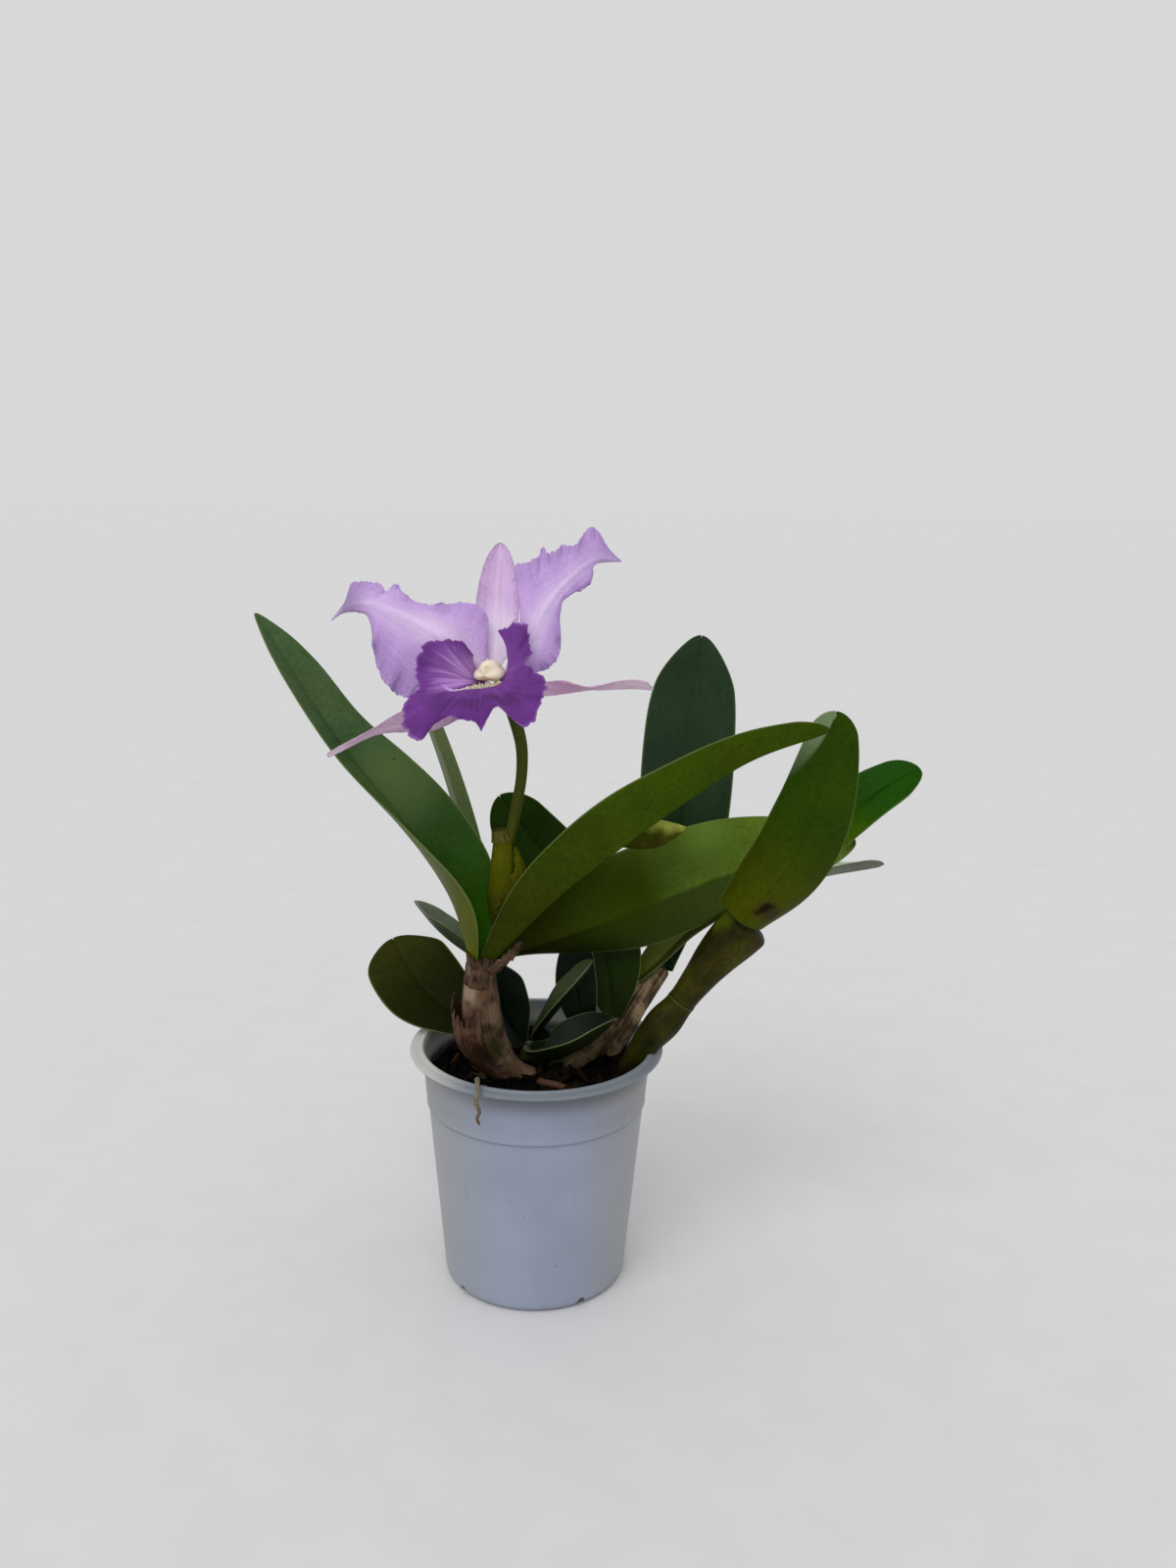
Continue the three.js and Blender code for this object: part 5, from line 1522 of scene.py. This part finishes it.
class ORCHID_OT_stem(OrchidPiece, bpy.types.Operator):
    """Add the flower stem and the sheaths at its foot"""

    bl_idname = "orchid.add_stem"
    bl_label = "Stem and Sheaths"

    def execute(self, context):
        ridge = context.scene.orchid_leaves.sheath
        green = context.scene.orchid_flower.stem
        cover("flower_stem", STEM, "flower_stem", stem_finish("stem_skin", "#43460a", green),
              ribbed(0.06, 5), 32, 110, 0.01)
        olive = dict(upper="#5a5e08", under="#5a5e08", foot="#1f2802", foot_reach=0.95,
                     shine=0.04)
        finish = leaf_finish("sheath_skin", ridge, 0.5, **olive)
        cover("flower_sheath", FLOWER_SHEATH, "sheath", finish, ribbed(0.08, 6), 48, 80)
        torn = husk("sheath_tip", Limb(**FLOWER_SHEATH), start=0.92, end=1.03, middle=0,
                    sweep=5.9, lift=0.3, flare=0.35, tear=0.02, seed=12, rows=20, columns=60)
        dry = husk_finish("dry_sheath_tip", "#5e5c22", "#3a3a0e", streak=0.8)
        finish_piece(torn, "sheath", dry)
        bract = blade("sheath_bract", flap_surface(**BRACT), 60, 22, 0.5, 0.5)
        finish_piece(bract, "sheath", finish)
        # on the young sheath the dark patches low down are painted shade on its lower face, and
        # the bright yellow-green ones higher up painted light on its upper face
        olive.update(upper="#454c02", foot="#3c4204", patches=[
            ((44, -26, 216), 9, "#2a2600"), ((52, -28, 218.5), 9, "#322e02"),
            ((62, -27, 223.5), 7, "#443e06"), ((52, -26, 232.5), 8, "#98a43c"),
            ((57, -26, 232), 7, "#b4bc50"), ((63, -26, 231), 6, "#c0c45c")])
        finish = leaf_finish("young_sheath_skin", ridge, 0.45, **olive)
        cover("young_sheath", YOUNG_SHEATH, "sheath", finish, ribbed(0.08, 6), 48, 80)
        return {"FINISHED"}


class ORCHID_OT_flower(OrchidPiece, bpy.types.Operator):
    """Add the sepals, the ruffled petals, the lip and the column"""

    bl_idname = "orchid.add_flower"
    bl_label = "Flower"

    def execute(self, context):
        settings = context.scene.orchid_flower
        thickness = settings.thickness / MM
        petal = (settings.petal, settings.petal_pale, "#9f7fc0", 0.5)
        finishes = {
            "petal": petal_finish("petal_velvet", *petal),
            # the left petal's own copy: its pale patch is a painted highlight along its fold, its
            # dark patch painted shade at its tip
            "left_petal": petal_finish(
                "lit_petal_velvet", *petal, ((-43, -42, 314), 11, "#eed6fa"),
                ((-80, -31, 325), 12, "#a890bc")),
            "sepal": petal_finish("sepal_velvet", settings.sepal, "#e8d2ee", "#b48cb4", 0.2,
                                  ((-18, -33, 312), 16, "#f6e6fa")),
            "left_lateral_sepal": petal_finish(
                "shaded_sepal_velvet", "#d6b2d0", "#dfc6dc", "#a884a4", 0.2,
                ((-84, -58, 267), 10, "#f4dcee")),
            # near white colours, painted light on the right lateral sepal; its pinker patch near
            # the base is its own colour
            "right_lateral_sepal": petal_finish(
                "lit_sepal_velvet", "#fbdcf6", "#ffe9fb", "#d8aed4", 0.1,
                ((15, -41, 294), 24, "#d29cc8")),
        }
        for name, spec in TEPALS.items():
            slot = spec["slot"]
            piece = blade(f"{name}_tissue", tepal_surface(**spec), 150, 44, thickness, 0.35)
            finish_piece(piece, slot, finishes.get(name, finishes[slot]), name)
        lip = blade("lip_tissue", lip_surface, 260, 44, thickness, 0.4)
        finish = lip_finish(settings.lip, settings.lip_pale, "#e2cf9a")
        finish_piece(lip, "lip", finish, "lip")
        limb = Limb(flower_to_plant(np.array(COLUMN["path"], float)), COLUMN["radii"],
                    COLUMN["flat"])
        top = limb.angle_towards((0, 0, 1), 0.8)
        column = stalk("column_tissue", limb, 48, 64,
                       lambda t, angle: 1.1 * t * np.cos(3 * (angle - top)), 0.1)
        # a darker brownish spot under the column's end, partly its own colour and partly painted
        # shade in its hollow
        throat = flower_to_plant(np.array([COLUMN_HOLLOW]))[0]
        finish = waxy_finish("column_wax", settings.column, "#d8c69a", (throat, 3, "#c9ab7c"))
        finish_piece(column, "column", finish, "column")
        crests = [blade(f"crest_{k}", crest_surface(0.03 * k, 3 - 0.9 * k, k), 110, 8, 0.4, 0.5)
                  for k in range(2)]
        finish = waxy_finish("crest_wax", "#efe6c8", "#d8c07c")
        finish_piece(joined(crests, "throat_crest"), "column", finish)
        return {"FINISHED"}


class ORCHID_OT_stage(OrchidPiece, bpy.types.Operator):
    """Add the camera, the floor and the studio light"""

    bl_idname = "orchid.add_stage"
    bl_label = "Stage"

    def execute(self, context):
        settings = context.scene.orchid_stage
        data = bpy.data.cameras.new("camera")
        data.lens = CAMERA_LENS
        data.sensor_width = 36
        data.clip_end = 50
        camera = bpy.data.objects.new("camera", data)
        turn = Matrix.Rotation(math.radians(CAMERA_TILT), 3, "X") @ Matrix.Rotation(
            math.radians(CAMERA_ROLL), 3, "Z")
        camera.rotation_euler = turn.to_euler()
        camera.location = CAMERA_PLACE
        context.collection.objects.link(camera)
        context.scene.camera = camera

        deselect()
        bpy.ops.mesh.primitive_plane_add(size=FLOOR_SIZE, location=(0, 0, -FLOOR_DROP))
        floor = named("floor")
        bpy.ops.object.transform_apply(location=True)
        s = Shader("floor_paint", Roughness=0.6)
        s.base = s.tint(s.band(s.noise(30), 0.4, 0.6), settings.ground,
                        paint(settings.ground, 0.98))
        floor.data.materials.append(s.done())

        world = bpy.data.worlds.new("room")
        world.use_nodes = True
        background = world.node_tree.nodes["Background"]
        background.inputs["Color"].default_value = (*settings.wall, 1)
        background.inputs["Strength"].default_value = settings.room
        context.scene.world = world

        data = bpy.data.lights.new("key", "SUN")
        data.energy = settings.sun
        data.angle = math.radians(KEY_SPREAD)
        key = bpy.data.objects.new("key", data)
        key.location = KEY_PLACE
        key.rotation_euler = (-key.location).to_track_quat("-Z", "Y").to_euler()
        context.collection.objects.link(key)
        context.scene.view_settings.view_transform = "Standard"
        return {"FINISHED"}


STEPS = (ORCHID_OT_stage, ORCHID_OT_pot, ORCHID_OT_medium, ORCHID_OT_bulbs, ORCHID_OT_roots,
         ORCHID_OT_leaves, ORCHID_OT_stem, ORCHID_OT_flower)
GROUPS = {"orchid_pot": PotSettings, "orchid_bulbs": BulbSettings,
          "orchid_leaves": LeafSettings, "orchid_flower": FlowerSettings,
          "orchid_stage": StageSettings}


class ORCHID_PT_sidebar(bpy.types.Panel):
    """Sizes and colours of the orchid, and a button for each group of pieces"""

    bl_idname = "ORCHID_PT_sidebar"
    bl_label = "Cattleya Orchid"
    bl_space_type = "VIEW_3D"
    bl_region_type = "UI"
    bl_category = "Orchid"

    def draw(self, context):
        for name, group in GROUPS.items():
            box = self.layout.box()
            for setting in group.__annotations__:
                box.prop(getattr(context.scene, name), setting)
        for step in STEPS:
            self.layout.operator(step.bl_idname)


CLASSES = (*GROUPS.values(), *STEPS, ORCHID_PT_sidebar)


def register():
    for item in CLASSES:
        bpy.utils.register_class(item)
    for name, group in GROUPS.items():
        setattr(bpy.types.Scene, name, bpy.props.PointerProperty(type=group))


def unregister():
    for name in GROUPS:
        delattr(bpy.types.Scene, name)
    for item in reversed(CLASSES):
        bpy.utils.unregister_class(item)


def main():
    register()
    bpy.ops.orchid.add_stage()
    bpy.ops.orchid.add_pot()
    bpy.ops.orchid.add_medium()
    bpy.ops.orchid.add_bulbs()
    bpy.ops.orchid.add_roots()
    bpy.ops.orchid.add_leaves()
    bpy.ops.orchid.add_stem()
    bpy.ops.orchid.add_flower()
    deselect()


if __name__ == "__main__":
    main()
